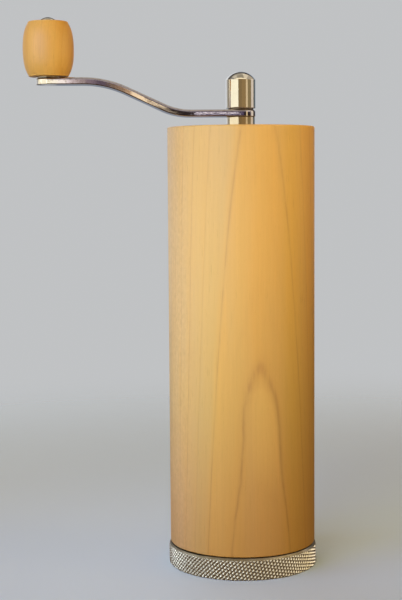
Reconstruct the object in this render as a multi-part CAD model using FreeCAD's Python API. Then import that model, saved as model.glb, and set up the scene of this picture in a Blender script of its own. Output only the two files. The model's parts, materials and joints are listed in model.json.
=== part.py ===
import FreeCAD, Part
import math
import os

# Hand cranked nutmeg grinder: a turned wooden barrel with a crank on its top
# and a knurled ring at its foot that holds the grating disc.
# Millimetres.  +Z is up, Z = 0 is the plane that the ring stands on, the Z
# axis is the axis of the barrel, the shaft and the ring.  The crank arm is
# stored along -X.

# ---------------------------------------------------------------- dimensions
# barrel
wood_r = 25.0            # turned from 50 mm stock
wood_len = 142.5
wood_round_top = 0.55
wood_round_foot = 0.35
chamber_r = 17.0         # nut chamber, drilled from below
chamber_top = 66.0
spring_bore_r = 9.5
ceiling_z = 126.0        # solid wood above this carries the bush

# knurled ring
ring_r = 25.55           # over the knurl
ring_h = 7.45
ring_gap = 0.25          # shadow gap under the wood
ring_top_r = 25.0
ring_bevel_h = 1.10
ring_foot_chamfer = 0.40
lip_h = 1.40
lip_r = 17.2             # outlet under the grating disc
thread_r = 21.0          # male thread of the foot socket
thread_pitch = 1.5
thread_clear = 0.08
clip_groove_z = 2.58
clip_wire = 1.02
clip_groove_r = 21.62

# grating disc
disc_r = 20.85
disc_t = 0.90
disc_z = lip_h + 0.05
tooth_r = 1.55
tooth_hole_r = 1.10
lug_w = 5.0
lug_h = 1.2
lug_r0, lug_r1 = 17.4, 19.3

# foot socket (threaded neck)
neck_z0 = disc_z + disc_t + 0.05
neck_pilot_r = 19.9
neck_pilot_top = 3.9
neck_top = 19.8
flange_r = 23.3
flange_t = 0.90

# shaft and what it carries
shaft_r = 3.0
shaft_clear = 0.05
square_af = 4.2
thread_end_r = 2.0
lift_travel = 30.0
claw_t = 1.5
claw_z = 14.05
claw_hub_r = 5.5
claw_hub_top = 20.2
claw_arm_w = 5.0
claw_out_r = 9.0
claw_tip_z = 5.8
washer_t = 1.0
spring_r = 6.3           # mean coil radius
spring_wire = 1.4
spring_turns = 38

# top bush
bush_flange_r = 12.0
bush_flange_t = 1.4
bush_sleeve_r = 5.0
bush_low = 118.0
screw_circle_r = 8.6

# crank
collar_r = 4.85
collar_h = 3.425
arm_t = 2.35
arm_len = 64.62
arm_end_shaft = 5.0      # radius of the end round the shaft
arm_half_shaft = 4.9     # half width beside the shaft
arm_end_knob = 4.25      # half width and end radius at the knob pin
arm_flat_1 = 17.2
arm_arc_1 = 22.0
arm_slope = 24.6         # degrees
arm_slope_end = 38.7
arm_arc_2 = 35.0
arm_edge = 0.45
cap_r = 5.05
cap_washer_t = 0.475
cap_top_over_wood = 18.60
cap_dome_r = 6.1

# knob
knob_h = 18.2
knob_r = 8.54            # at mid height
knob_edge = 0.35
knob_pin_r = 1.8
knob_washer_t = 0.33
knob_head_r = 3.15
knob_head_h = 1.50

# ------------------------------------------------------------- derived levels
z_w0 = ring_h + ring_gap
z_w1 = z_w0 + wood_len
arm_z = z_w1 + collar_h              # underside of the arm at the shaft
cap_z0 = arm_z + arm_t + cap_washer_t
cap_z1 = z_w1 + cap_top_over_wood

slope = math.radians(arm_slope)
arm_x1 = arm_flat_1 + arm_arc_1 * math.sin(slope)
arm_rise = (arm_arc_1 * (1 - math.cos(slope))
            + (arm_slope_end - arm_x1) * math.tan(slope)
            + arm_arc_2 * (1 - math.cos(slope)))
arm_top_knob = arm_z + arm_t + arm_rise
knob_z0 = arm_top_knob + knob_washer_t + 0.05
knob_z1 = knob_z0 + knob_h

V = FreeCAD.Vector
OUT = "parts"
os.makedirs(OUT, exist_ok=True)
made = {}


def save(name, shape):
    shape = shape.removeSplitter() if shape.ShapeType != "Compound" else shape
    if not shape.isValid():
        raise RuntimeError(name + " is not valid")
    shape.exportStep(os.path.join(OUT, name + ".step"))
    made[name] = shape
    b = shape.BoundBox
    print("%-22s solids %2d  volume %10.2f  z %7.2f..%7.2f" % (
        name, len(shape.Solids), shape.Volume, b.ZMin, b.ZMax))


def outline(points):
    """Closed wire in the XZ plane from (r, z) or (r, z, round) corners."""
    n = len(points)
    ends = []
    for i in range(n):
        p = points[i]
        rad = p[2] if len(p) > 2 else 0.0
        here = V(p[0], 0, p[1])
        if not rad:
            ends.append((here, here, None))
            continue
        a = points[i - 1]
        b = points[(i + 1) % n]
        u = V(a[0], 0, a[1]).sub(here).normalize()
        w = V(b[0], 0, b[1]).sub(here).normalize()
        half = u.getAngle(w) / 2.0
        back = rad / math.tan(half)
        s = here.add(V(u).multiply(back))
        e = here.add(V(w).multiply(back))
        mid = V(u).add(w).normalize()
        centre = here.add(V(mid).multiply(rad / math.sin(half)))
        top = centre.sub(V(mid).multiply(rad))
        ends.append((s, e, top))
    edges = []
    for i in range(n):
        s, e, top = ends[i]
        if top is not None:
            edges.append(Part.Arc(s, top, e).toShape())
        nxt = ends[(i + 1) % n][0]
        if e.distanceToPoint(nxt) > 1e-7:
            edges.append(Part.LineSegment(e, nxt).toShape())
    return Part.Wire(edges)


def turned(points):
    """Solid of revolution about Z."""
    return Part.Face(outline(points)).revolve(V(0, 0, 0), V(0, 0, 1), 360)


def tube(r0, r1, z0, z1, edge=0.0):
    e = edge
    if e:
        return turned([(r0, z0, e), (r1, z0, e), (r1, z1, e), (r0, z1, e)])
    return turned([(r0, z0), (r1, z0), (r1, z1), (r0, z1)])


def rod(r, z0, z1, x=0.0, y=0.0):
    return Part.makeCylinder(r, z1 - z0, V(x, y, z0), V(0, 0, 1))


def cone(r0, r1, z0, z1, x=0.0, y=0.0):
    return Part.makeCone(r0, r1, z1 - z0, V(x, y, z0), V(0, 0, 1))


def block(x0, x1, y0, y1, z0, z1):
    return Part.makeBox(x1 - x0, y1 - y0, z1 - z0, V(x0, y0, z0))


def about_z(shape, degrees):
    s = shape.copy()
    s.rotate(V(0, 0, 0), V(0, 0, 1), degrees)
    return s


def hexagon(across, z0, z1):
    r = across / 2.0 / math.cos(math.pi / 6)
    pts = [V(r * math.cos(math.radians(60 * i)), r * math.sin(math.radians(60 * i)), z0)
           for i in range(7)]
    return Part.Face(Part.makePolygon(pts)).extrude(V(0, 0, z1 - z0))


# ------------------------------------------------------------ wooden barrel
screw_angles = (90, 210, 330)
screw_hole_r = 1.05      # pilot hole
screw_len = 10.0
wood = turned([
    (flange_r + 0.10, z_w0), (wood_r, z_w0, wood_round_foot),
    (wood_r, z_w1, wood_round_top), (bush_flange_r + 0.08, z_w1),
    (bush_flange_r + 0.08, z_w1 - bush_flange_t - 0.08),
    (bush_sleeve_r + 0.05, z_w1 - bush_flange_t - 0.08),
    (bush_sleeve_r + 0.05, ceiling_z), (spring_bore_r, ceiling_z),
    (spring_bore_r, chamber_top), (chamber_r, chamber_top),
    (chamber_r, neck_top + 0.10), (thread_r + 0.05, neck_top + 0.10),
    (thread_r + 0.05, z_w0 + flange_t + 0.10),
    (flange_r + 0.10, z_w0 + flange_t + 0.10),
])
for a in screw_angles:
    x = screw_circle_r * math.cos(math.radians(a))
    y = screw_circle_r * math.sin(math.radians(a))
    wood = wood.cut(rod(screw_hole_r, z_w1 - screw_len - 1.0, z_w1, x, y))
save("wooden_body", wood)

# ---------------------------------------------------------------- top bush
bush_top = z_w1 - 0.05
bush = turned([
    (shaft_r + shaft_clear, bush_low + 0.4), (shaft_r + shaft_clear + 0.4, bush_low),
    (bush_sleeve_r, bush_low, 0.4), (bush_sleeve_r, bush_top - bush_flange_t),
    (bush_flange_r, bush_top - bush_flange_t),
    (bush_flange_r, bush_top, 0.3), (shaft_r + shaft_clear + 0.3, bush_top),
    (shaft_r + shaft_clear, bush_top - 0.3),
])
head_r = 2.2
head_depth = 1.15
for a in screw_angles:
    x = screw_circle_r * math.cos(math.radians(a))
    y = screw_circle_r * math.sin(math.radians(a))
    bush = bush.cut(rod(1.15, bush_top - 2, bush_top + 1, x, y))
    bush = bush.cut(cone(1.15, head_r + 0.18, bush_top - head_depth, bush_top + 0.01, x, y))
save("top_bush", bush)

# three countersunk wood screws in the bush flange, as separate solids
screws = []
for a in screw_angles:
    zt = bush_top - 0.05
    s = turned([
        (0, zt - screw_len), (screw_hole_r - 0.03, zt - screw_len + 2.2),
        (screw_hole_r - 0.03, zt - head_depth), (head_r, zt - 0.06),
        (head_r, zt), (0, zt),
    ])
    slot = block(-2.6, 2.6, -0.28, 0.28, zt - 0.55, zt + 1)
    s = s.cut(slot.copy())
    s.rotate(V(0, 0, 0), V(0, 0, 1), a * 1.7)
    x = screw_circle_r * math.cos(math.radians(a))
    y = screw_circle_r * math.sin(math.radians(a))
    s.translate(V(x, y, 0))
    screws.append(s)
save("top_bush_screws", Part.makeCompound(screws))

# washer under the ceiling that the spring bears on
save("spring_seat", tube(bush_sleeve_r + 0.2, spring_bore_r - 0.5,
                         ceiling_z - 0.02 - washer_t, ceiling_z - 0.02, 0.15))

# ------------------------------------------------- threaded neck in the foot
neck = turned([
    (chamber_r, neck_z0, 0.3), (neck_pilot_r, neck_z0, 0.2),
    (neck_pilot_r, neck_pilot_top), (thread_r - 0.6, neck_pilot_top),
    (thread_r, neck_pilot_top + 0.6),
    (thread_r, z_w0 - 0.55), (thread_r - 0.6, z_w0 - 0.35), (thread_r - 0.6, z_w0 + 0.05),
    (flange_r, z_w0 + 0.05, 0.2), (flange_r, z_w0 + flange_t),
    (thread_r, z_w0 + flange_t), (thread_r, 10.4), (thread_r - 0.3, 10.6),
    (thread_r, 12.6), (thread_r - 0.3, 12.8), (thread_r, 14.8),
    (thread_r - 0.3, 15.0), (thread_r, 17.0), (thread_r - 0.3, 17.2),
    (thread_r - 0.3, neck_top - 0.6), (thread_r - 0.9, neck_top), (chamber_r, neck_top),
])
for a in (0, 180):
    neck = neck.cut(about_z(block(16.0, 22.0, -lug_w / 2 - 0.2, lug_w / 2 + 0.2,
                                  neck_z0 - 1, neck_z0 + lug_h + 0.5), a))
save("threaded_neck", neck)

# ------------------------------------------------------------- grating disc
disc = turned([(0, disc_z), (disc_r, disc_z, 0.15), (disc_r, disc_z + disc_t, 0.15),
               (0, disc_z + disc_t)])
top = disc_z + disc_t
# one rasp tooth: half of a thin dome raised over its hole, with its mouth
# facing the way the nut comes from (the nut turns clockwise from above)
dome = Part.makeSphere(tooth_r, V(0, 0, top - 0.62)).cut(
    Part.makeSphere(tooth_r - 0.35, V(0, 0, top - 0.62)))
keep = block(-3, 3, -3, 0.25, top - 0.05, top + 3)
tooth = dome.common(keep)
hole = rod(tooth_hole_r, disc_z - 1, top + 0.02)
teeth, holes = [], []
rows = ((4.0, 6), (7.2, 11), (10.4, 16), (13.6, 21))
for k, (rr, count) in enumerate(rows):
    for i in range(count):
        ang = 360.0 * (i + 0.5 * (k % 2)) / count
        t = tooth.copy()
        t.translate(V(rr, 0, 0))
        teeth.append(about_z(t, ang))
        h = hole.copy()
        h.translate(V(rr, 0, 0))
        holes.append(about_z(h, ang))
disc = disc.cut(Part.makeCompound(holes))
disc = disc.fuse(teeth)
for a in (0, 180):
    lug = block(lug_r0, lug_r1, -lug_w / 2, lug_w / 2, top - 0.2, top + lug_h)
    lug = lug.makeFillet(0.5, [e for e in lug.Edges
                               if abs(e.BoundBox.ZMin - top - lug_h) < 1e-6
                               and e.BoundBox.YLength < 0.01])
    disc = disc.fuse(about_z(lug, a))
save("grater_disc", disc)

# ------------------------------------------------------------- knurled ring
bore = thread_r + thread_clear
ring = turned([
    (lip_r + 0.3, 0), (ring_r - ring_foot_chamfer, 0),
    (ring_r, ring_foot_chamfer), (ring_r, ring_h - ring_bevel_h),
    (ring_top_r + 0.12, ring_h - 0.10, 0.12), (ring_top_r - 0.05, ring_h),
    (bore + 0.35, ring_h), (bore, ring_h - 0.35),
    (bore, clip_groove_z + clip_wire), (clip_groove_r, clip_groove_z + clip_wire),
    (clip_groove_r, clip_groove_z), (bore, clip_groove_z),
    (bore, lip_h), (lip_r, lip_h), (lip_r, 0.3),
])
save("knurled_ring", ring)

# open wire ring in the groove; it reaches over the disc's edge, so that the
# disc stays in when the ring is off
cz = clip_groove_z + clip_wire / 2
cr = clip_groove_r - 0.02 - clip_wire / 2
wire = Part.Face(Part.Wire(Part.makeCircle(clip_wire / 2 - 0.03, V(cr, 0, cz), V(0, 1, 0))))
clip = wire.revolve(V(0, 0, 0), V(0, 0, 1), 330)
clip.rotate(V(0, 0, 0), V(0, 0, 1), 105)
save("retaining_clip", clip)

# ----------------------------------------------------------------- the claw
# four sprung prongs bent down from one stamped plate, driven by a square hole
w = claw_arm_w / 2
ro, zi = claw_out_r, claw_z + claw_t
rin = ro - claw_t
side = outline([
    (2.0, claw_z), (rin, claw_z, 0.5), (rin, claw_tip_z), (ro, claw_tip_z),
    (ro, zi, 0.5 + claw_t), (2.0, zi),
])
strip = Part.Face(side).extrude(V(0, claw_arm_w, 0))
strip.translate(V(0, -w, 0))
front = Part.makePolygon([
    V(0, -w, zi + 1), V(0, w, zi + 1), V(0, w, claw_z - 2.2), V(0, 0.5, claw_tip_z),
    V(0, -0.5, claw_tip_z), V(0, -w, claw_z - 2.2), V(0, -w, zi + 1)])
strip = strip.common(Part.Face(front).extrude(V(20, 0, 0)))
claw = rod(6.6, claw_z, zi)
for a in (0, 90, 180, 270):
    claw = claw.fuse(about_z(strip, a))
sq = square_af / 2 + 0.05
claw = claw.cut(block(-sq, sq, -sq, sq, claw_z - 1, zi + 1))
save("nut_claw", claw)

nut = hexagon(7.0, claw_z - 0.02 - 3.2, claw_z - 0.02)
nut = nut.common(turned([(0, claw_z - 3.22), (3.55, claw_z - 3.22), (4.1, claw_z - 2.9),
                         (4.1, claw_z - 0.02), (0, claw_z - 0.02)]))
nut = nut.cut(rod(thread_end_r + 0.03, 0, 40))
save("claw_nut", nut)

save("claw_spacer", tube(shaft_r + 0.03, claw_hub_r, zi + 0.02, claw_hub_top, 0.3))

# non-turning thrust washer between the spacer and the spring
washer_z = claw_hub_top + 0.05
save("thrust_washer", tube(shaft_r + 0.15, 7.6, washer_z, washer_z + washer_t, 0.2))

# ------------------------------------------------------------------- spring
sz0 = washer_z + washer_t + 0.03
sz1 = ceiling_z - 0.02 - washer_t - 0.03
half_wire = spring_wire / 2
run = sz1 - sz0 - spring_wire
helix = Part.makeHelix(run / spring_turns, run, spring_r)
helix.translate(V(0, 0, sz0 + half_wire))
start = helix.Edges[0].valueAt(helix.Edges[0].FirstParameter)
tang = helix.Edges[0].tangentAt(helix.Edges[0].FirstParameter)
section = Part.Wire(Part.makeCircle(half_wire - 0.03, start, tang))
spring = Part.Wire(helix.Edges).makePipeShell([section], True, True)
if spring.Volume < 0:
    spring.reverse()
save("compression_spring", spring)

# -------------------------------------------------------------------- shaft
h = square_af / 2
shaft_top = arm_z + arm_t - 0.15
thread_top = cap_z0 + 7.0
shaft = turned([
    (0, zi + 0.02), (shaft_r, zi + 0.02), (shaft_r, arm_z), (0, arm_z)])
shaft = shaft.fuse(block(-h, h, -h, h, claw_z + 0.05, zi + 0.5))
shaft = shaft.fuse(block(-h, h, -h, h, arm_z - 0.5, shaft_top))
shaft = shaft.fuse(turned([(0, 9.9), (thread_end_r - 0.4, 9.9), (thread_end_r, 10.3),
                           (thread_end_r, claw_z + 0.5), (0, claw_z + 0.5)]))
shaft = shaft.fuse(turned([(0, shaft_top - 0.5), (thread_end_r, shaft_top - 0.5),
                           (thread_end_r, thread_top - 0.4), (thread_end_r - 0.4, thread_top),
                           (0, thread_top)]))
save("drive_shaft", shaft)

# pressed on the shaft; the arm sits on it and it rests on the bush
save("shaft_collar", turned([
    (shaft_r + 0.01, z_w1 + 0.06), (collar_r, z_w1 + 0.06, 0.25),
    (collar_r, arm_z, 0.25), (shaft_r + 0.01, arm_z)]))

# ---------------------------------------------------------------- crank arm
# Side view: flat round the shaft, one S bend, flat under the knob.  Worked out
# with x running towards the knob, then turned to lie along -X.
zm = arm_z + arm_t / 2
ht = arm_t / 2
sn, cs = math.sin(slope), math.cos(slope)
c1 = V(arm_flat_1, 0, zm + arm_arc_1)
c2x = arm_slope_end + arm_arc_2 * sn
c2 = V(c2x, 0, zm + arm_rise - arm_arc_2)
m = slope / 2


def on_1(ang, r):
    return V(c1.x + r * math.sin(ang), 0, c1.z - r * math.cos(ang))


def on_2(ang, r):
    return V(c2.x - r * math.sin(ang), 0, c2.z + r * math.cos(ang))


r1o, r1i = arm_arc_1 + ht, arm_arc_1 - ht
r2o, r2i = arm_arc_2 + ht, arm_arc_2 - ht
back, front_x = -8.0, arm_len + 8.0
z_up, z_dn = zm + ht, zm - ht
k_up, k_dn = zm + arm_rise + ht, zm + arm_rise - ht
edges = [
    Part.LineSegment(V(back, 0, z_dn), on_1(0, r1o)).toShape(),
    Part.Arc(on_1(0, r1o), on_1(m, r1o), on_1(slope, r1o)).toShape(),
    Part.LineSegment(on_1(slope, r1o), on_2(slope, r2i)).toShape(),
    Part.Arc(on_2(slope, r2i), on_2(m, r2i), on_2(0, r2i)).toShape(),
    Part.LineSegment(on_2(0, r2i), V(front_x, 0, k_dn)).toShape(),
    Part.LineSegment(V(front_x, 0, k_dn), V(front_x, 0, k_up)).toShape(),
    Part.LineSegment(V(front_x, 0, k_up), on_2(0, r2o)).toShape(),
    Part.Arc(on_2(0, r2o), on_2(m, r2o), on_2(slope, r2o)).toShape(),
    Part.LineSegment(on_2(slope, r2o), on_1(slope, r1i)).toShape(),
    Part.Arc(on_1(slope, r1i), on_1(m, r1i), on_1(0, r1i)).toShape(),
    Part.LineSegment(on_1(0, r1i), V(back, 0, z_up)).toShape(),
    Part.LineSegment(V(back, 0, z_up), V(back, 0, z_dn)).toShape(),
]
ribbon = Part.Face(Part.Wire(edges)).extrude(V(0, 20, 0))
ribbon.translate(V(0, -10, 0))
# plan view: a slightly tapered strip with round ends
lean = math.asin((arm_half_shaft - arm_end_knob) / arm_len)
ex, ey = math.sin(lean), math.cos(lean)
pa = V(-math.sqrt(arm_end_shaft ** 2 - arm_half_shaft ** 2), arm_half_shaft, 0)
pb = V(arm_len + arm_end_knob * ex, arm_end_knob * ey, 0)
plan = Part.Wire([
    Part.LineSegment(pa, pb).toShape(),
    Part.Arc(pb, V(arm_len + arm_end_knob, 0, 0), V(pb.x, -pb.y, 0)).toShape(),
    Part.LineSegment(V(pb.x, -pb.y, 0), V(pa.x, -pa.y, 0)).toShape(),
    Part.Arc(V(pa.x, -pa.y, 0), V(-arm_end_shaft, 0, 0), pa).toShape(),
])
blank = Part.Face(plan).extrude(V(0, 0, 60))
blank.translate(V(0, 0, arm_z - 20))
arm = ribbon.common(blank)


def on_skin(e):
    """Edges where the flat faces meet the cut side of the strip."""
    p = e.valueAt((e.FirstParameter + e.LastParameter) / 2)
    q = e.valueAt(e.FirstParameter)
    return abs(p.y) > 1e-3 or abs(q.y) > 1e-3


def crosses(e):
    """Edges between the strip's own flats and bends, straight across it."""
    t0 = e.valueAt(e.FirstParameter)
    t1 = e.valueAt(e.LastParameter)
    return abs(t0.x - t1.x) < 1e-6 and abs(t0.z - t1.z) < 1e-6 and abs(t0.y - t1.y) > 1


def upright(e):
    t0 = e.valueAt(e.FirstParameter)
    t1 = e.valueAt(e.LastParameter)
    return abs(t0.x - t1.x) < 1e-6 and abs(t0.y - t1.y) < 1e-6


rims = [e for e in arm.Edges if on_skin(e) and not crosses(e) and not upright(e)]
arm = arm.makeFillet(arm_edge, rims)
sa = square_af / 2 + 0.04
arm = arm.cut(block(-sa, sa, -sa, sa, arm_z - 5, arm_z + 8))
tail_r = 2.7
arm = arm.cut(rod(knob_pin_r + 0.02, arm_z, arm_z + 40, arm_len, 0))
arm = arm.cut(cone(tail_r, knob_pin_r, k_dn - 0.001, k_dn + 0.9, arm_len, 0))
arm.rotate(V(0, 0, 0), V(0, 0, 1), 180)
save("crank_arm", arm)

save("cap_washer", tube(thread_end_r + 0.15, 4.35, arm_z + arm_t, cap_z0, 0.1))

dome_h = cap_dome_r - math.sqrt(cap_dome_r ** 2 - cap_r ** 2)
sh = cap_z1 - dome_h
dm = math.asin(cap_r / cap_dome_r) / 2
centre_z = cap_z1 - cap_dome_r
prof = Part.Wire([
    Part.LineSegment(V(thread_end_r + 0.03, 0, cap_z0), V(cap_r - 0.3, 0, cap_z0)).toShape(),
    Part.LineSegment(V(cap_r - 0.3, 0, cap_z0), V(cap_r, 0, cap_z0 + 0.3)).toShape(),
    Part.LineSegment(V(cap_r, 0, cap_z0 + 0.3), V(cap_r, 0, sh)).toShape(),
    Part.Arc(V(cap_r, 0, sh),
             V(cap_dome_r * math.sin(dm), 0, centre_z + cap_dome_r * math.cos(dm)),
             V(0, 0, cap_z1)).toShape(),
    Part.LineSegment(V(0, 0, cap_z1), V(0, 0, cap_z0 + 8.6)).toShape(),
    Part.LineSegment(V(0, 0, cap_z0 + 8.6), V(thread_end_r + 0.03, 0, cap_z0 + 7.6)).toShape(),
    Part.LineSegment(V(thread_end_r + 0.03, 0, cap_z0 + 7.6),
                     V(thread_end_r + 0.03, 0, cap_z0)).toShape(),
])
cap = Part.Face(prof).revolve(V(0, 0, 0), V(0, 0, 1), 360)
cap = cap.makeFillet(0.35, [e for e in cap.Edges
                            if abs(e.BoundBox.ZMin - sh) < 1e-6
                            and abs(e.BoundBox.ZMax - sh) < 1e-6
                            and e.BoundBox.XLength > 2 * cap_r - 0.01])
save("cap_nut", cap)

# --------------------------------------------------------------------- knob
kx = -arm_len
pin_gap = 0.05
sleeve_r = 3.0
half = knob_h / 2
barrel = []
for i in range(-8, 9):
    u = half * i / 8.0
    barrel.append((knob_z0 + half + u, knob_r - 0.0125 * u * u - 0.00015 * u ** 4))
end_r = barrel[0][1]
curve = Part.BSplineCurve()
curve.interpolate([V(r, 0, z) for z, r in barrel])
kr = sleeve_r + 0.02
kw = Part.Wire([
    curve.toShape(),
    Part.LineSegment(V(end_r, 0, knob_z1), V(kr, 0, knob_z1)).toShape(),
    Part.LineSegment(V(kr, 0, knob_z1), V(kr, 0, knob_z0)).toShape(),
    Part.LineSegment(V(kr, 0, knob_z0), V(end_r, 0, knob_z0)).toShape(),
])
knob = Part.Face(kw).revolve(V(0, 0, 0), V(0, 0, 1), 360)
if knob.Volume < 0:
    knob.reverse()
knob = knob.makeFillet(knob_edge, [e for e in knob.Edges
                                   if e.BoundBox.ZLength < 1e-6
                                   and abs(e.BoundBox.XLength - 2 * end_r) < 0.01])
knob.translate(V(kx, 0, 0))
save("knob", knob)

sleeve = tube(knob_pin_r + pin_gap, sleeve_r, knob_z0 + 0.0, knob_z1, 0.15)
sleeve.translate(V(kx, 0, 0))
save("knob_sleeve", sleeve)

kwasher = tube(knob_pin_r + 0.1, 4.2, arm_top_knob, arm_top_knob + knob_washer_t)
kwasher.translate(V(kx, 0, 0))
save("knob_washer", kwasher)

# rivet: domed head over the knob, shank through it, tail peened flush
hz = knob_z1 + 0.08
hr = (knob_head_r ** 2 + knob_head_h ** 2) / (2 * knob_head_h)
ha = math.asin(knob_head_r / hr) / 2
hc = hz + knob_head_h - hr
pin_tail = arm_z + arm_rise
prof = Part.Wire([
    Part.LineSegment(V(0, 0, pin_tail + 0.02), V(tail_r - 0.05, 0, pin_tail + 0.02)).toShape(),
    Part.LineSegment(V(tail_r - 0.05, 0, pin_tail + 0.02),
                     V(knob_pin_r, 0, pin_tail + 0.88)).toShape(),
    Part.LineSegment(V(knob_pin_r, 0, pin_tail + 0.88), V(knob_pin_r, 0, hz)).toShape(),
    Part.LineSegment(V(knob_pin_r, 0, hz), V(knob_head_r, 0, hz)).toShape(),
    Part.Arc(V(knob_head_r, 0, hz), V(hr * math.sin(ha), 0, hc + hr * math.cos(ha)),
             V(0, 0, hz + knob_head_h)).toShape(),
    Part.LineSegment(V(0, 0, hz + knob_head_h), V(0, 0, pin_tail + 0.02)).toShape(),
])
pin = Part.Face(prof).revolve(V(0, 0, 0), V(0, 0, 1), 360)
pin.translate(V(kx, 0, 0))
save("knob_pin", pin)

print("top of cap nut %.3f  knob %.3f..%.3f  arm rise %.3f  pin top %.3f" % (
    cap_z1, knob_z0, knob_z1, arm_rise, hz + knob_head_h))
print("spring %.3f..%.3f" % (sz0, sz1))
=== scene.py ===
import json
import math

import bpy
import numpy as np
from mathutils import Matrix, Vector

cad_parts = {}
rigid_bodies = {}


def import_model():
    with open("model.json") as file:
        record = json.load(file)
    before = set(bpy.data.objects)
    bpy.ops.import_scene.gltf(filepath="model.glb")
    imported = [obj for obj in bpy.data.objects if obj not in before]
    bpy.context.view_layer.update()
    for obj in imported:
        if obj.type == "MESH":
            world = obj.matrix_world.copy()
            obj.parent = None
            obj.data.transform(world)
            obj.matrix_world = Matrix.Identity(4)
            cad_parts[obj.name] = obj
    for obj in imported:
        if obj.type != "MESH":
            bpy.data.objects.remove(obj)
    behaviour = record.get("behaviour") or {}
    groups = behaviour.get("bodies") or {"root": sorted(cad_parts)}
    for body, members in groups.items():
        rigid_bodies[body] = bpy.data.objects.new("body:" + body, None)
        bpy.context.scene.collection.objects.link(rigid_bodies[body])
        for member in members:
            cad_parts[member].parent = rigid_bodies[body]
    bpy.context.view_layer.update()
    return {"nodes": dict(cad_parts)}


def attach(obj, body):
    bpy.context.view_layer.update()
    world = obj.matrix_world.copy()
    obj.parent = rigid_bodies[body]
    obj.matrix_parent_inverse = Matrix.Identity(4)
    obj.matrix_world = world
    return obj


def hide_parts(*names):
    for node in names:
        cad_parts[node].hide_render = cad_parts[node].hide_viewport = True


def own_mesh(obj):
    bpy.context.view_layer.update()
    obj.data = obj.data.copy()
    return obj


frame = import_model()
scene = bpy.context.scene
rng = np.random.default_rng(11)
MM = 0.001
TAU = 2 * math.pi

# =============================================================== mesh helpers


def make_object(name, verts, faces, slot, body, node, sharp=32.0):
    """Mesh from millimetres in the row frame; it stands for one CAD node."""
    me = bpy.data.meshes.new(name)
    me.from_pydata((np.asarray(verts, float) * MM).tolist(), [], faces)
    me.update()
    me.polygons.foreach_set("use_smooth", np.ones(len(me.polygons), bool))
    me.set_sharp_from_angle(angle=math.radians(sharp))
    ob = bpy.data.objects.new(name, me)
    scene.collection.objects.link(ob)
    dress(ob, slot, body, node)
    return ob


def dress(ob, slot, body, node):
    ob.data.materials.clear()
    ob.data.materials.append(MATS[slot])
    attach(ob, body)
    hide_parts(node)


def support(points, gap=0.07):
    """Extra points near both ends of each long straight run, so that smooth
    shading stays flat on it."""
    out = []
    n = len(points)
    for i in range(n):
        a = np.array(points[i], float)
        out.append(tuple(a))
        if i == n - 1:
            break
        b = np.array(points[i + 1], float)
        d = np.hypot(*(b - a))
        if d > 6 * gap:
            u = (b - a) / d
            out.append(tuple(a + u * gap))
            out.append(tuple(b - u * gap))
    return out


def rounded(corners, closed=True, step=13.0):
    """(r, z) or (r, z, round) corners to points, each round as a fan of chords."""
    pts = []
    n = len(corners)
    for i, c in enumerate(corners):
        rad = c[2] if len(c) > 2 else 0.0
        here = np.array(c[:2], float)
        if not rad or (not closed and i in (0, n - 1)):
            pts.append(tuple(here))
            continue
        a = np.array(corners[i - 1][:2], float)
        b = np.array(corners[(i + 1) % n][:2], float)
        u = (a - here) / np.hypot(*(a - here))
        w = (b - here) / np.hypot(*(b - here))
        half = math.acos(max(-1, min(1, float(u @ w)))) / 2
        back = rad / math.tan(half)
        s, e = here + u * back, here + w * back
        mid = (u + w) / np.hypot(*(u + w))
        centre = here + mid * rad / math.sin(half)
        a0 = math.atan2(*(s - centre)[::-1])
        a1 = math.atan2(*(e - centre)[::-1])
        while a1 - a0 > math.pi:
            a1 -= TAU
        while a1 - a0 < -math.pi:
            a1 += TAU
        k = max(2, int(round(abs(math.degrees(a1 - a0)) / step)))
        for j in range(k + 1):
            t = a0 + (a1 - a0) * j / k
            pts.append((centre[0] + rad * math.cos(t), centre[1] + rad * math.sin(t)))
    if closed:
        pts = support(pts + [pts[0]])[:-1]
    else:
        pts = support(pts)
    return pts


def revolved(rows, seg, closed, cx=0.0, cy=0.0, phase=0.0):
    """Rows of (r, z), each a number or an array round the axis, to a skin."""
    ang = phase + np.arange(seg) * TAU / seg
    ca, sa = np.cos(ang), np.sin(ang)
    verts, faces, first = [], [], []
    for r, z in rows:
        r = np.asarray(r, float)
        if r.ndim == 0 and r < 1e-9:
            first.append((len(verts), True))
            verts.append((cx, cy, float(np.mean(z))))
            continue
        first.append((len(verts), False))
        rr = np.broadcast_to(r, seg)
        zz = np.broadcast_to(np.asarray(z, float), seg)
        verts.extend(np.stack([cx + rr * ca, cy + rr * sa, zz], 1).tolist())
    nxt = (np.arange(seg) + 1) % seg
    pairs = [(i, i + 1) for i in range(len(rows) - 1)]
    if closed:
        pairs.append((len(rows) - 1, 0))
    for i, j in pairs:
        (a, ap), (b, bp) = first[i], first[j]
        if ap and bp:
            continue
        for k in range(seg):
            m = int(nxt[k])
            if ap:
                faces.append((a, b + m, b + k))
            elif bp:
                faces.append((a + k, a + m, b))
            else:
                faces.append((a + k, a + m, b + m, b + k))
    return verts, faces


def outward(verts, faces):
    """Turns all faces over if the skin's volume comes out negative."""
    v = np.asarray(verts, float)
    vol = 0.0
    for f in faces:
        p = v[f[0]]
        for i in range(1, len(f) - 1):
            vol += float(np.dot(p, np.cross(v[f[i]], v[f[i + 1]])))
    return [tuple(reversed(f)) for f in faces] if vol < 0 else faces


def turned(name, corners, seg, slot, body, node, closed=True, cx=0.0, sharp=32.0):
    rows = rounded(corners, closed)
    verts, faces = revolved(rows, seg, closed, cx=cx)
    return make_object(name, verts, outward(verts, faces), slot, body, node, sharp)


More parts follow.
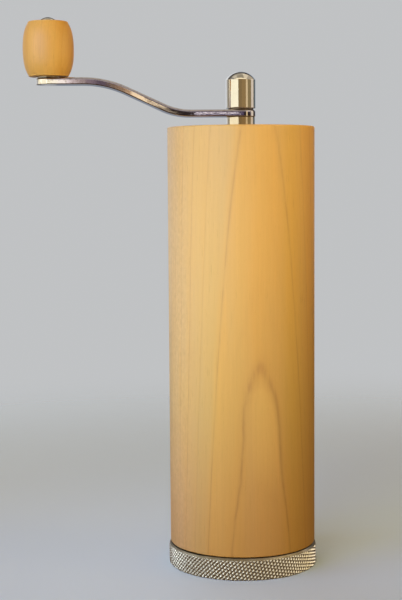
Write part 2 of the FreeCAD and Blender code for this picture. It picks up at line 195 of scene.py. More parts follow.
def cut(ob, cutters):
    """Subtracts each cutter (verts, faces in mm) from the object's own mesh."""
    for verts, faces in cutters:
        me = bpy.data.meshes.new("cutter")
        me.from_pydata((np.asarray(verts, float) * MM).tolist(), [], outward(verts, faces))
        me.update()
        tool = bpy.data.objects.new("cutter", me)
        scene.collection.objects.link(tool)
        mod = ob.modifiers.new("cut", "BOOLEAN")
        mod.operation = "DIFFERENCE"
        mod.solver = "EXACT"
        mod.object = tool
        bpy.context.view_layer.update()
        dg = bpy.context.evaluated_depsgraph_get()
        new = bpy.data.meshes.new_from_object(ob.evaluated_get(dg))
        ob.modifiers.clear()
        old = ob.data
        ob.data = new
        new.name = old.name
        bpy.data.meshes.remove(old)
        bpy.data.objects.remove(tool)
        bpy.data.meshes.remove(me)


def sharpen(ob, sharp=32.0):
    me = ob.data
    me.polygons.foreach_set("use_smooth", np.ones(len(me.polygons), bool))
    me.set_sharp_from_angle(angle=math.radians(sharp))


def box_skin(x0, x1, y0, y1, z0, z1):
    v = [(x, y, z) for z in (z0, z1) for y in (y0, y1) for x in (x0, x1)]
    f = [(0, 2, 3, 1), (4, 5, 7, 6), (0, 1, 5, 4), (2, 6, 7, 3), (0, 4, 6, 2), (1, 3, 7, 5)]
    return v, f


def rod_skin(r0, r1, z0, z1, cx=0.0, cy=0.0, seg=64):
    return revolved([(0, z0), (r0, z0), (r1, z1), (0, z1)], seg, False, cx=cx, cy=cy)


# =========================================================== material helpers


class Net:
    """A small wrapper that builds one Principled material."""

    def __init__(self, name):
        self.mat = bpy.data.materials.new(name)
        self.mat.use_nodes = True
        self.nt = self.mat.node_tree
        self.nt.nodes.clear()
        self.count = 0
        out = self.node("ShaderNodeOutputMaterial")
        self.bsdf = self.node("ShaderNodeBsdfPrincipled")
        self.nt.links.new(self.bsdf.outputs[0], out.inputs[0])
        tc = self.node("ShaderNodeTexCoord")
        self.mm = self.scale(tc.outputs["Object"], 1000.0)
        sep = self.node("ShaderNodeSeparateXYZ")
        self.nt.links.new(self.mm, sep.inputs[0])
        self.x, self.y, self.z = sep.outputs

    def node(self, kind, **props):
        n = self.nt.nodes.new(kind)
        n.location = (220 * (self.count % 12), -260 * (self.count // 12))
        self.count += 1
        for k, v in props.items():
            setattr(n, k, v)
        return n

    def put(self, socket, value):
        if isinstance(value, bpy.types.NodeSocket):
            self.nt.links.new(value, socket)
        elif value is not None:
            socket.default_value = value

    def set(self, **values):
        for k, v in values.items():
            self.put(self.bsdf.inputs[k.replace("_", " ")], v)

    def math(self, op, a, b=None, c=None, clamp=False):
        n = self.node("ShaderNodeMath", operation=op, use_clamp=clamp)
        for s, v in zip(n.inputs, (a, b, c)):
            self.put(s, v)
        return n.outputs[0]

    def vmath(self, op, a, b=None):
        n = self.node("ShaderNodeVectorMath", operation=op)
        self.put(n.inputs[0], a)
        if b is not None:
            self.put(n.inputs[1], b)
        return n.outputs["Value"] if op in ("LENGTH", "DOT_PRODUCT", "DISTANCE") else n.outputs[0]

    def scale(self, v, s):
        n = self.node("ShaderNodeVectorMath", operation="SCALE")
        self.put(n.inputs[0], v)
        n.inputs["Scale"].default_value = s
        return n.outputs[0]

    def stretch(self, v, sx, sy, sz):
        return self.vmath("MULTIPLY", v, (sx, sy, sz))

    def xyz(self, x, y, z):
        n = self.node("ShaderNodeCombineXYZ")
        for s, v in zip(n.inputs, (x, y, z)):
            self.put(s, v)
        return n.outputs[0]

    def noise(self, v, scale=1.0, detail=2.0, rough=0.5, distort=0.0):
        n = self.node("ShaderNodeTexNoise", noise_dimensions="3D")
        self.put(n.inputs["Vector"], v)
        n.inputs["Scale"].default_value = scale
        n.inputs["Detail"].default_value = detail
        n.inputs["Roughness"].default_value = rough
        n.inputs["Distortion"].default_value = distort
        return n.outputs[0]

    def white(self, w):
        n = self.node("ShaderNodeTexWhiteNoise", noise_dimensions="1D")
        self.put(n.inputs["W"], w)
        return n.outputs["Value"]

    def ramp(self, fac, stops, interp="LINEAR"):
        n = self.node("ShaderNodeValToRGB")
        cr = n.color_ramp
        cr.interpolation = interp
        while len(cr.elements) < len(stops):
            cr.elements.new(0.5)
        for e, (p, c) in zip(cr.elements, stops):
            e.position = p
            e.color = tuple(c) + (1.0,) if not isinstance(c, (int, float)) else (c, c, c, 1.0)
        self.put(n.inputs[0], fac)
        return n.outputs[0]

    def span(self, v, a, b, lo=0.0, hi=1.0, smooth=True):
        n = self.node("ShaderNodeMapRange", interpolation_type="SMOOTHSTEP" if smooth else "LINEAR", clamp=True)
        self.put(n.inputs["Value"], v)
        n.inputs["From Min"].default_value = a
        n.inputs["From Max"].default_value = b
        n.inputs["To Min"].default_value = lo
        n.inputs["To Max"].default_value = hi
        return n.outputs[0]

    def mix(self, fac, a, b, blend="MIX"):
        n = self.node("ShaderNodeMix", data_type="RGBA", blend_type=blend)
        self.put(n.inputs[0], fac)
        self.put(n.inputs[6], a if isinstance(a, bpy.types.NodeSocket) else tuple(a) + (1.0,))
        self.put(n.inputs[7], b if isinstance(b, bpy.types.NodeSocket) else tuple(b) + (1.0,))
        return n.outputs[2]

    def bump(self, height, distance, strength=1.0, normal=None):
        n = self.node("ShaderNodeBump")
        n.inputs["Strength"].default_value = strength
        n.inputs["Distance"].default_value = distance * MM
        self.put(n.inputs["Height"], height)
        if normal is not None:
            self.put(n.inputs["Normal"], normal)
        return n.outputs[0]

    def worn(self, lo=0.505, hi=0.56):
        g = self.node("ShaderNodeNewGeometry")
        return self.span(g.outputs["Pointiness"], lo, hi)


def wood(name, pith, z_ref, first, pitch, tones, seed, figure=1.0, centre=0.0,
         heart=None, streak=0.08, wander=1.1, squeeze=None):
    """Flat-sawn maple: growth rings round a leaning pith line, with a thin
    dark line at the end of each season, long fibres and short flecks. The
    wood is paler than heart (a ring radius) on its near side. Squeeze makes
    the rings narrower between two radii, by so many mm high up and low down."""
    n = Net(name)
    c0x, c1x, c0y, c1y = pith
    zr = n.math("SUBTRACT", n.z, z_ref)
    px = n.math("MULTIPLY_ADD", zr, c1x, c0x)
    py = n.math("MULTIPLY_ADD", zr, c1y, c0y)
    x = n.math("SUBTRACT", n.x, centre) if centre else n.x
    dx = n.math("SUBTRACT", x, px)
    dy = n.math("SUBTRACT", n.y, py)
    rad = n.math("SQRT", n.math("ADD", n.math("MULTIPLY", dx, dx), n.math("MULTIPLY", dy, dy)))
    off = n.vmath("ADD", n.mm, (seed * 13.7, seed * 5.1, seed * 9.3))
    slow = n.noise(n.stretch(off, 0.055, 0.055, 0.016), 1.0, 2.0, 0.45)
    fast = n.noise(n.stretch(off, 0.30, 0.30, 0.022), 1.0, 2.0, 0.45)
    sway = n.math("MULTIPLY", n.math("SUBTRACT", slow, 0.5), wander)
    if heart is not None:
        sway = n.math("MULTIPLY", sway, n.span(rad, heart - 9.0, heart - 2.0, 1.0, 0.22))
    rad = n.math("ADD", rad, sway)
    rad = n.math("MULTIPLY_ADD", n.math("SUBTRACT", fast, 0.5), 0.16, rad)
    if squeeze is not None:
        near_arch = n.span(rad, squeeze[0], squeeze[1])
        ripple = n.noise(n.stretch(off, 0.05, 0.05, 0.11), 1.0, 2.0, 0.5)
        shift = n.math("ADD", n.span(n.z, 30.0, 62.0, squeeze[3], squeeze[2]),
                       n.math("MULTIPLY", n.math("SUBTRACT", ripple, 0.5),
                              n.span(n.x, -1.0, 8.0, 0.34, 0.05)))
        rad = n.math("MULTIPLY_ADD", near_arch, shift, rad)
    u = n.math("MULTIPLY_ADD", rad, 1.0 / pitch, -first / pitch)
    idx = n.math("FLOOR", u)
    f = n.math("FRACT", u)
    # distance in mm to the nearest ring boundary
    near = n.math("MULTIPLY", n.math("MINIMUM", f, n.math("SUBTRACT", 1.0, f)), pitch)
    side = n.math("FLOOR", n.math("ADD", u, 0.5))
    power = n.span(n.white(n.math("ADD", side, seed * 3.0)), 0.0, 1.0, 0.5, 1.0, smooth=False)
    line = n.math("MULTIPLY", n.span(near, 0.02, 0.26, 1.0, 0.0), power)
    broken = n.span(n.noise(n.stretch(off, 0.6, 0.6, 0.09), 1.0, 2.0, 0.6), 0.36, 0.60, 0.35, 1.0)
    core = n.math("MULTIPLY", n.math("MULTIPLY", n.span(near, 0.0, 0.115, 1.0, 0.0), power), broken)
    line = n.math("MULTIPLY", line, n.math("MULTIPLY_ADD", broken, 0.6, 0.4))
    late = n.math("MULTIPLY", n.math("POWER", f, 3.0), power)
    # two weak lines inside each season
    f2 = n.math("FRACT", n.math("MULTIPLY_ADD", u, 3.0, n.math("MULTIPLY", slow, 2.0)))
    near2 = n.math("MINIMUM", f2, n.math("SUBTRACT", 1.0, f2))
    weak = n.span(near2, 0.02, 0.22, 1.0, 0.0)
    pale, warm, dark = tones
    zone = n.white(n.math("ADD", idx, seed * 7.0 + 0.5))
    patch = n.span(n.noise(n.stretch(off, 0.13, 0.13, 0.012), 1.0, 3.0, 0.55), 0.3, 0.7)
    if heart is None:
        inner = None
        t = n.math("MULTIPLY_ADD", zone, 0.35, n.math("MULTIPLY", patch, 0.5))
    else:
        inner = n.span(rad, heart - 0.9, heart + 0.5)
        split = n.span(n.z, 25.0, 110.0, 0.40, 0.66)
        edge = n.math("MAXIMUM", inner, n.span(n.x, 7.0, 13.0))
        t = n.math("MULTIPLY_ADD", edge, split, n.math("MULTIPLY", patch, 0.26))
        t = n.math("MULTIPLY_ADD", zone, 0.12, t)
    if inner is not None:
        # painted sheen: the colour is bluer and greyer at the far left, where light from the left glances off the
        # wood
        pale = n.mix(n.span(n.x, -23.0, -15.5, 1.0, 0.0), pale, (pale[0], pale[1] * 1.03, pale[2] * 1.48))
    col = n.mix(t, pale, warm)
    if squeeze is not None:
        arch = n.math("MULTIPLY", n.span(rad, first + 3 * pitch + 0.02, first + 3 * pitch + 0.22),
                      n.math("MULTIPLY", n.span(n.x, -2.0, 4.0), n.span(n.z, 26.0, 44.0, 0.3, 1.0)))
        col = n.mix(arch, col, (warm[0] * 1.075, warm[1] * 1.17, warm[2] * 1.36))
    col = n.mix(n.math("MULTIPLY", late, 0.14 * figure), col, warm)
    col = n.mix(n.math("MULTIPLY", line, 0.20 * figure), col, dark)
    col = n.mix(n.math("MULTIPLY", core, 0.37 * figure), col, dark)
    col = n.mix(n.math("MULTIPLY", weak, 0.035 * figure), col, dark)
    # fibres run with the trunk; flecks and vessels are short dashes
    fib = n.noise(n.stretch(off, 5.5, 5.5, 0.10), 1.0, 3.0, 0.6)
    fib2 = n.noise(n.stretch(off, 1.6, 1.6, 0.03), 1.0, 2.0, 0.5)
    pore = n.noise(n.stretch(off, 9.0, 9.0, 0.55), 1.0, 1.0, 0.5)
    dash = n.noise(n.stretch(off, 2.9, 2.9, 0.16), 1.0, 1.0, 0.5)
    fleck = n.span(pore, 0.66, 0.76)
    dashes = n.span(dash, 0.66, 0.76)
    if inner is not None:
        dashes = n.math("MULTIPLY", dashes, n.math("MULTIPLY_ADD", inner, -0.65, 1.0))
    shade = n.math("MULTIPLY_ADD", n.math("SUBTRACT", fib, 0.5), streak, 1.0)
    shade = n.math("MULTIPLY_ADD", n.math("SUBTRACT", fib2, 0.5), streak, shade)
    shade = n.math("MULTIPLY_ADD", fleck, -0.08, shade)
    shade = n.math("MULTIPLY_ADD", dashes, -0.13, shade)
    if inner is not None:
        mottle = n.noise(n.stretch(off, 0.9, 0.9, 0.6), 1.0, 2.0, 0.6)
        shade = n.math("MULTIPLY_ADD", n.math("SUBTRACT", mottle, 0.5), n.span(n.x, -23.5, -16.0, 0.34, 0.0), shade)
    worn = n.worn(0.53, 0.62)
    shade = n.math("MULTIPLY_ADD", worn, -0.10, shade)
    grey = n.xyz(shade, n.math("POWER", shade, 1.2), n.math("POWER", shade, 1.7))
    col = n.mix(1.0, col, grey, "MULTIPLY")
    if inner is not None:
        # the colour turns warmer towards the foot, and its blue is raised right of the middle and lowered at the
        # right side
        low = n.span(n.z, 14.0, 62.0)
        blue = n.math("MULTIPLY_ADD", n.span(n.x, 9.0, 15.5), -0.32,
                      n.math("MULTIPLY_ADD", n.span(n.x, -5.0, 1.0), 0.16, 1.0))
        col = n.mix(1.0, col, n.xyz(n.math("MULTIPLY_ADD", low, -0.045, 1.045),
                                    n.math("MULTIPLY_ADD", low, 0.045, 0.955), blue), "MULTIPLY")
    n.set(Base_Color=col)
    rough = n.math("MULTIPLY_ADD", fib2, 0.16, 0.36)
    rough = n.math("MULTIPLY_ADD", fleck, 0.10, rough)
    rough = n.math("MULTIPLY_ADD", worn, -0.08, rough)
    n.set(Roughness=rough)
    n.bsdf.inputs["IOR"].default_value = 1.46
    h = n.math("MULTIPLY_ADD", fib, 0.6, n.math("MULTIPLY", fib2, 0.5))
    h = n.math("MULTIPLY_ADD", fleck, -0.5, h)
    h = n.math("MULTIPLY_ADD", line, -0.25, h)
    n.set(Normal=n.bump(h, 0.02, 0.6))
    return n


def metal(name, color, rough, spread=0.05, peel=0.004, marks=0.0, scratch=0.5,
          tarnish=(0.55, 0.45, 0.32), tarnish_by=0.15, edge=None, edge_by=0.0,
          centre=None, seed=0.0, grain=None, grooves=None, pits=0.0):
    """Plated or bare metal: soft waviness, turning marks, hair scratches,
    patchy shine and a little tarnish, dirt with painted shade in the grooves,
    which lie between the two radii given, then a painted reflection of the
    wood on the bevel and a painted shadow in the gap under the barrel, and
    small dull pits."""
    n = Net(name)
    off = n.vmath("ADD", n.mm, (seed * 3.1, seed * 7.7, seed * 2.3))
    wave = n.noise(off, 0.35, 2.0, 0.5)
    cloud = n.noise(off, 0.16, 4.0, 0.6)
    fine = n.noise(off, 3.2, 3.0, 0.6)
    h1 = n.noise(n.stretch(off, 0.5, 14.0, 9.0), 1.0, 2.0, 0.6, 0.3)
    h2 = n.noise(n.stretch(off, 11.0, 0.7, 6.0), 1.0, 2.0, 0.6, 0.3)
    hair = n.math("MAXIMUM", n.span(h1, 0.66, 0.74), n.span(h2, 0.68, 0.76))
    t = n.math("MULTIPLY", n.span(cloud, 0.42, 0.72), tarnish_by)
    col = n.mix(t, color, tarnish)
    col = n.mix(n.math("MULTIPLY", hair, 0.10), col, tuple(0.8 * c for c in color))
    r = n.math("MULTIPLY_ADD", n.span(cloud, 0.35, 0.75), spread, rough)
    r = n.math("MULTIPLY_ADD", fine, spread * 0.6, r)
    r = n.math("MULTIPLY_ADD", hair, 0.06 * scratch, r)
    if pits:
        spots = n.math("MAXIMUM", n.span(n.noise(off, 1.7, 2.0, 0.6), 0.56, 0.66),
                       n.span(n.noise(off, 0.9, 1.0, 0.5, 1.0), 0.62, 0.68))
        col = n.mix(n.math("MULTIPLY", spots, pits), col, tarnish)
        r = n.math("MULTIPLY_ADD", spots, 0.02 * pits, r)
    if edge is not None:
        worn = n.worn()
        grit = n.span(fine, 0.35, 0.6)
        w = n.math("MULTIPLY", n.math("MULTIPLY", worn, grit), edge_by)
        col = n.mix(w, col, edge)
        r = n.math("MULTIPLY_ADD", w, 0.10, r)
    if grooves is not None:
        rr = n.math("SQRT", n.math("ADD", n.math("MULTIPLY", n.x, n.x), n.math("MULTIPLY", n.y, n.y)))
        # dirt and painted shade: the knurl's grooves are darkened by depth
        groove_dirt_and_shade = n.span(rr, grooves[0], grooves[1], 1.0, 0.0)
        groove_dirt_and_shade = n.math("MULTIPLY", groove_dirt_and_shade, n.span(rr, 24.0, 24.1))
        groove_dirt_and_shade = n.math("MULTIPLY", groove_dirt_and_shade, n.span(n.z, 6.6, 6.85, 1.0, 0.0))
        col = n.mix(n.math("MULTIPLY", groove_dirt_and_shade, 0.12), col, (0.34, 0.31, 0.25))
        r = n.math("MULTIPLY_ADD", groove_dirt_and_shade, 0.20, r)
        # painted reflection: the bevel is coloured like the wooden barrel it mirrors, brightest at the middle and
        # darker to the left and right
        bevel = n.math("MULTIPLY", n.span(n.z, 6.5, 6.75), n.span(rr, 23.9, 24.1))
        bevel = n.math("MULTIPLY", bevel, n.span(cloud, 0.25, 0.65, 0.60, 0.95))
        bevel_wood_reflection = n.mix(n.span(n.x, -18.5, -11.0), (0.172, 0.132, 0.072), (0.31, 0.245, 0.155))
        bevel_wood_reflection = n.mix(n.span(n.x, 9.0, 16.5), bevel_wood_reflection, (0.215, 0.172, 0.105))
        col = n.mix(bevel, col, bevel_wood_reflection)
        r = n.math("MULTIPLY_ADD", bevel, 0.22, r)
        # painted shadow in the gap against the barrel, strongest at the left and fading out towards the middle
        gap_shadow = n.math("MULTIPLY", n.span(n.z, 7.12, 7.36), n.span(rr, 23.9, 24.1))
        gap_shadow = n.math("MULTIPLY", gap_shadow, n.span(n.x, -18.0, -12.0, 0.9, 0.0))
        col = n.mix(gap_shadow, col, (0.030, 0.022, 0.010))
        r = n.math("MULTIPLY_ADD", gap_shadow, 0.25, r)
    n.set(Base_Color=col, Roughness=r)
    n.bsdf.inputs["Metallic"].default_value = 1.0
    nrm = n.bump(wave, 1.0, peel * 8.0)
    nrm = n.bump(n.math("MULTIPLY_ADD", hair, -0.5, fine), 0.004, 0.5 * scratch, nrm)
    if marks:
        if centre is None:
            rr = n.math("SQRT", n.math("ADD", n.math("MULTIPLY", n.x, n.x), n.math("MULTIPLY", n.y, n.y)))
        else:
            xx = n.math("SUBTRACT", n.x, centre)
            rr = n.math("SQRT", n.math("ADD", n.math("MULTIPLY", xx, xx), n.math("MULTIPLY", n.y, n.y)))
        ring = n.noise(n.xyz(n.math("MULTIPLY", rr, 9.0), 0.0, n.math("MULTIPLY", n.z, 9.0)), 1.0, 3.0, 0.65)
        nrm = n.bump(ring, 0.006 * marks, 0.6, nrm)
    if grain is not None:
        g = n.noise(n.stretch(off, *grain), 1.0, 3.0, 0.6)
        nrm = n.bump(g, 0.006, 0.5, nrm)
    n.set(Normal=nrm)
    return n


# ================================================================== materials
MATS = {}
MATS["maple"] = wood("maple", (-6.83, 0.015, 44.48, -0.0274), 80.0, 61.73, 2.92,
                     ((0.655, 0.435, 0.118), (0.738, 0.426, 0.080), (0.46, 0.22, 0.05)), 1.0,
                     heart=67.57, squeeze=(68.7, 69.9, 0.23, -0.24)).mat
MATS["maple_knob"] = wood("maple_knob", (-260.0, 0.05, 40.0, 0.0), 176.0, 262.0, 2.3,
                          ((0.755, 0.445, 0.085), (0.71, 0.36, 0.052), (0.46, 0.20, 0.04)), 2.0,
                          figure=0.5, centre=-64.62, streak=0.14, wander=0.7).mat
nickel = (0.74, 0.69, 0.61)
MATS["nickel"] = metal("nickel", nickel, 0.07, 0.05, 0.004, scratch=0.6, tarnish=(0.50, 0.42, 0.34),
                       tarnish_by=0.2, edge=(0.80, 0.74, 0.64), edge_by=0.5, seed=1.0).mat
MATS["nickel_strip"] = metal("nickel_strip", nickel, 0.03, 0.025, 0.0008, scratch=0.25, tarnish=(0.50, 0.42, 0.34),
                             tarnish_by=0.25, edge=(0.80, 0.74, 0.64), edge_by=0.6, seed=9.0,
                             grain=(0.35, 0.7, 0.7), pits=0.8).mat
MATS["nickel_turned"] = metal("nickel_turned", nickel, 0.06, 0.05, 0.003, marks=0.5, scratch=0.5,
                              tarnish=(0.50, 0.42, 0.34), tarnish_by=0.2, edge=(0.80, 0.74, 0.64),
                              edge_by=0.5, seed=2.0).mat
# painted reflection: the collar's nickel is tinted warm as if it mirrored the wood below it
MATS["nickel_painted_reflection"] = metal("nickel_painted_reflection", (0.70, 0.61, 0.48), 0.06, 0.05, 0.003, marks=0.8, scratch=0.5,
                            tarnish=(0.46, 0.36, 0.24), tarnish_by=0.25, edge=(0.78, 0.70, 0.56),
                            edge_by=0.5, seed=10.0).mat
# painted shade: a dark brown nickel for the cap washer, which lies in shadow between the arm and the cap
MATS["nickel_painted_shade"] = metal("nickel_painted_shade", (0.20, 0.16, 0.13), 0.30, 0.10, 0.002, scratch=0.6,
                            tarnish=(0.14, 0.11, 0.09), tarnish_by=0.4, edge=(0.45, 0.40, 0.33),
                            edge_by=0.4, seed=11.0).mat
MATS["nickel_knurled"] = metal("nickel_knurled", (0.81, 0.78, 0.71), 0.17, 0.08, 0.002, scratch=0.4,
                               tarnish=(0.55, 0.49, 0.41), tarnish_by=0.25, edge=(0.90, 0.87, 0.80),
                               edge_by=0.8, seed=3.0, grooves=(25.20, 25.36)).mat
MATS["stainless"] = metal("stainless", (0.60, 0.59, 0.57), 0.24, 0.08, 0.002, scratch=1.0,
                          tarnish=(0.45, 0.42, 0.38), tarnish_by=0.25, edge=(0.72, 0.71, 0.69),
                          edge_by=0.6, seed=4.0, grain=(0.6, 16.0, 16.0)).mat
MATS["spring_steel"] = metal("spring_steel", (0.42, 0.42, 0.43), 0.28, 0.08, 0.001, scratch=0.8,
                             tarnish=(0.30, 0.27, 0.24), tarnish_by=0.3, edge=(0.55, 0.55, 0.55),
                             edge_by=0.4, seed=5.0).mat
MATS["ground_steel"] = metal("ground_steel", (0.58, 0.58, 0.58), 0.2, 0.06, 0.001, marks=1.0, scratch=0.6,
                             tarnish=(0.40, 0.36, 0.32), tarnish_by=0.2, edge=(0.68, 0.68, 0.68),
                             edge_by=0.5, seed=6.0).mat
MATS["brass"] = metal("brass", (0.72, 0.52, 0.22), 0.2, 0.08, 0.002, marks=1.2, scratch=0.7,
                      tarnish=(0.42, 0.26, 0.10), tarnish_by=0.4, edge=(0.86, 0.68, 0.36),
                      edge_by=0.7, seed=7.0).mat
MATS["zinc"] = metal("zinc", (0.56, 0.57, 0.58), 0.34, 0.1, 0.001, scratch=0.6,
                     tarnish=(0.40, 0.38, 0.36), tarnish_by=0.35, edge=(0.68, 0.68, 0.67),
                     edge_by=0.6, seed=8.0).mat
for o in frame["nodes"].values():
    for s in o.material_slots:
        key = s.material.name.split(".")[0] if s.material else ""
        if key in MATS:
            s.material = MATS[key]

# ================================================================= dimensions
Z_W0, Z_W1 = 7.70, 150.20
RING_H = 7.45
ARM_Z = 153.625
ARM_T = 2.35
CAP_Z0, CAP_Z1 = 156.45, 168.80
KX = -64.62
KNOB_Z0, KNOB_Z1 = 167.179, 185.379

# ---------------------------------------------------------------- the barrel
barrel = turned("barrel", [
    (23.40, Z_W0, 0.12), (25.0, Z_W0, 0.35), (25.0, Z_W1, 0.55), (12.08, Z_W1, 0.12),
    (12.08, Z_W1 - 1.48), (5.05, Z_W1 - 1.48), (5.05, 126.0), (9.5, 126.0), (9.5, 66.0),
    (17.0, 66.0), (17.0, 19.9), (21.05, 19.9), (21.05, 8.7), (23.40, 8.7),
], 288, "maple", "housing", "wooden_body")

# ---------------------------------------------------------------- the thread
PITCH = 1.5


def tooth(p, full, zero):
    """Height 0..1 of a thread tooth at phase p, in turns from its crest."""
    p = np.abs(p - np.round(p))
    return np.clip((zero - p) / (zero - full), 0, 1)


# knurled ring: outer skin from the foot up, then down through the bore
SEG = 1120
ang = np.arange(SEG) * TAU / SEG


def knurl(z):
    """Depth in mm under the crests, for the row at height z."""
    a = (140 * ang / TAU + 0.23 * z) % 1.0
    b = (108 * ang / TAU - 0.69 * z) % 1.0
    ha = 1 - np.abs(2 * a - 1)
    hb = 1 - np.abs(2 * b - 1)
    h = np.minimum(ha, hb)
    h = np.clip(h * 1.08, 0, 1)
    return 0.36 * (1 - h)


rows = []
for r, z in rounded([(17.5, 0.0), (25.15, 0.0)], closed=False):
    rows.append((r, z))
for z in np.concatenate([[0.08, 0.16, 0.26, 0.36], np.linspace(0.5, 6.3, 34), [6.42, 6.56, 6.72, 6.9]]):
    cone = min(25.15 + z, 25.55)
    if z > 6.30:
        cone = 25.55 - (z - 6.30) * 0.62
    rows.append((np.minimum(25.55 - knurl(z), cone), z))
for r, z in ((25.07, 7.08), (24.95, 7.28), (24.90, 7.36), (24.84, 7.42), (24.76, 7.45), (24.60, 7.45)):
    rows.append((r, z))
rows += [(21.60, 7.45), (21.50, 7.45)]
for z in np.linspace(7.40, 3.66, 22):
    ph = z / PITCH - ang / TAU
    fade = min(1.0, max(0.0, (z - 3.66) / 0.25))
    r = 21.45 - 0.55 * tooth(ph - 0.5, 0.08, 0.34) * fade
    r = np.maximum(r, 21.50 - (7.42 - z) * 1.0)
    rows.append((r, z))
rows += [(21.47, 3.60), (21.62, 3.60), (21.62, 2.58), (21.08, 2.58), (21.08, 1.47), (21.0, 1.40),
         (20.9, 1.40), (17.30, 1.40), (17.20, 1.32), (17.20, 0.42), (17.20, 0.30)]
v, f = revolved(rows, SEG, True)
ring = make_object("foot_ring", v, outward(v, f), "nickel_knurled", "ring", "knurled_ring", 30.0)

# threaded neck in the foot of the barrel
NSEG = 256
nang = np.arange(NSEG) * TAU / NSEG
rows = [(17.0, 19.8), (17.0, 19.7), (17.0, 2.8), (17.0, 2.65), (17.09, 2.49), (17.3, 2.40),
        (19.7, 2.40), (19.84, 2.46), (19.9, 2.60), (19.9, 3.85), (19.9, 3.9), (20.4, 3.9)]
for z in np.linspace(3.98, 7.14, 44):
    ph = z / PITCH - nang / TAU
    r = 20.80 + 0.55 * tooth(ph, 0.10, 0.36)
    r = np.minimum(r, 20.4 + (z - 3.9))
    if z > 6.9:
        r = np.maximum(20.4, r - (z - 6.9) * 1.6)
    rows.append((r, z))
rows += [(20.4, 7.22), (20.4, 7.72), (20.4, 7.75), (23.15, 7.75), (23.26, 7.80), (23.3, 7.9), (23.3, 8.6),
         (21.0, 8.6), (21.0, 10.4), (20.7, 10.6), (21.0, 12.6), (20.7, 12.8), (21.0, 14.8), (20.7, 15.0),
         (21.0, 17.0), (20.7, 17.2), (20.7, 19.2), (20.1, 19.8)]
v, f = revolved(rows, NSEG, True)
neck = make_object("foot_neck", v, outward(v, f), "brass", "housing", "threaded_neck", 30.0)
cut(neck, [box_skin(16.0, 22.0, -2.7, 2.7, 1.4, 4.1), box_skin(-22.0, -16.0, -2.7, 2.7, 1.4, 4.1)])
sharpen(neck, 30.0)

# ------------------------------------------------------------- bush and shaft
BT = Z_W1 - 0.05
bush = turned("top_bush_turned", [
    (3.05, 118.4), (3.45, 118.0), (5.0, 118.0, 0.4), (5.0, BT - 1.4), (12.0, BT - 1.4),
    (12.0, BT, 0.3), (3.35, BT), (3.05, BT - 0.3),
], 128, "brass", "housing", "top_bush")
holes = []
for a in (90, 210, 330):
    cx, cy = 8.6 * math.cos(math.radians(a)), 8.6 * math.sin(math.radians(a))
    holes.append(rod_skin(1.15, 1.15, BT - 2.0, BT - 0.5, cx, cy, 40))
    holes.append(rod_skin(1.15, 2.38, BT - 1.15, BT + 0.01, cx, cy, 40))
cut(bush, holes)
sharpen(bush)

# round rod with a square and a threaded stub at each end
sang = np.arange(96) * TAU / 96
square = np.minimum(2.1 / np.maximum(np.abs(np.cos(sang)), np.abs(np.sin(sang))), 2.84)


def stub(z0, z1):
    """Rows of a stub 4 mm across with a thread of 0.7 mm pitch."""
    out = []
    for z in np.linspace(z0, z1, int(round((z1 - z0) / 0.115)) + 1):
        fade = min(1.0, (z - z0) / 0.25, (z1 - z) / 0.25)
        out.append((1.99 - 0.30 * (1 - tooth(z / 0.7 - sang / TAU, 0.10, 0.36)) * max(0.0, fade), z))
    return out


rod_top, stub_top = ARM_Z + ARM_T - 0.15, CAP_Z0 + 7.0
rows = [(0.0, 9.9), (1.52, 9.9), (1.6, 9.9)] + stub(10.3, 14.0)
rows += [(1.99, 14.10), (square, 14.10), (square, 14.16), (square, 15.51), (square, 15.57),
         (2.9, 15.57), (2.97, 15.60), (3.0, 15.67), (3.0, 15.74), (3.0, ARM_Z - 0.14),
         (3.0, ARM_Z - 0.07), (2.97, ARM_Z - 0.02), (2.92, ARM_Z), (square, ARM_Z), (square, ARM_Z + 0.06),
         (square, rod_top - 0.06), (square, rod_top), (1.99, rod_top)]
rows += stub(rod_top + 0.1, stub_top - 0.4) + [(1.6, stub_top), (1.52, stub_top), (0.0, stub_top)]
v, f = revolved(rows, 96, False)
shaft = make_object("drive_rod", v, outward(v, f), "ground_steel", "crank", "drive_shaft", 30.0)
collar = turned("collar", [
    (3.01, Z_W1 + 0.06), (4.85, Z_W1 + 0.06, 0.25), (4.85, ARM_Z, 0.25), (3.01, ARM_Z),
], 160, "nickel", "crank", "shaft_collar")
# the collar takes the nickel with the painted warm reflection of the wood
collar.data.materials[0] = MATS["nickel_painted_reflection"]

# ------------------------------------------------------------ spring
coil_r, wire_r = 6.3, 0.67
z_lo, z_hi = 21.31 + wire_r, 124.92 - wire_r
turns, dead = 38.0, 1.25
steps = int(turns * 40)
t = np.linspace(0, turns, steps + 1)
rate = np.clip(np.minimum(t, turns - t) / dead, 0, 1)
rate = 0.5 * (rate * rate * (3 - 2 * rate))
pitch_at = 1.42 + rate * 1.0
climb = np.concatenate([[0], np.cumsum((pitch_at[1:] + pitch_at[:-1]) / 2 * np.diff(t))])
flat_part = 1.42 * t
span = (z_hi - z_lo) - flat_part[-1]
free = climb - flat_part
zc = z_lo + flat_part + free * (span / free[-1])
wseg = 14
vv, ff = [], []
for i in range(steps + 1):
    a = t[i] * TAU
    ca, sa = math.cos(a), math.sin(a)
    for k in range(wseg):
        b = k * TAU / wseg
        rr = coil_r + wire_r * math.cos(b)
        vv.append((rr * ca, rr * sa, zc[i] + wire_r * math.sin(b)))
for i in range(steps):
    for k in range(wseg):
        m = (k + 1) % wseg
        ff.append((i * wseg + k, (i + 1) * wseg + k, (i + 1) * wseg + m, i * wseg + m))
ff.append(tuple(range(wseg)))
ff.append(tuple(reversed(range(steps * wseg, (steps + 1) * wseg))))
spring = make_object("feed_spring", vv, outward(vv, ff), "spring_steel", "housing", "compression_spring", 40.0)
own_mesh(spring)

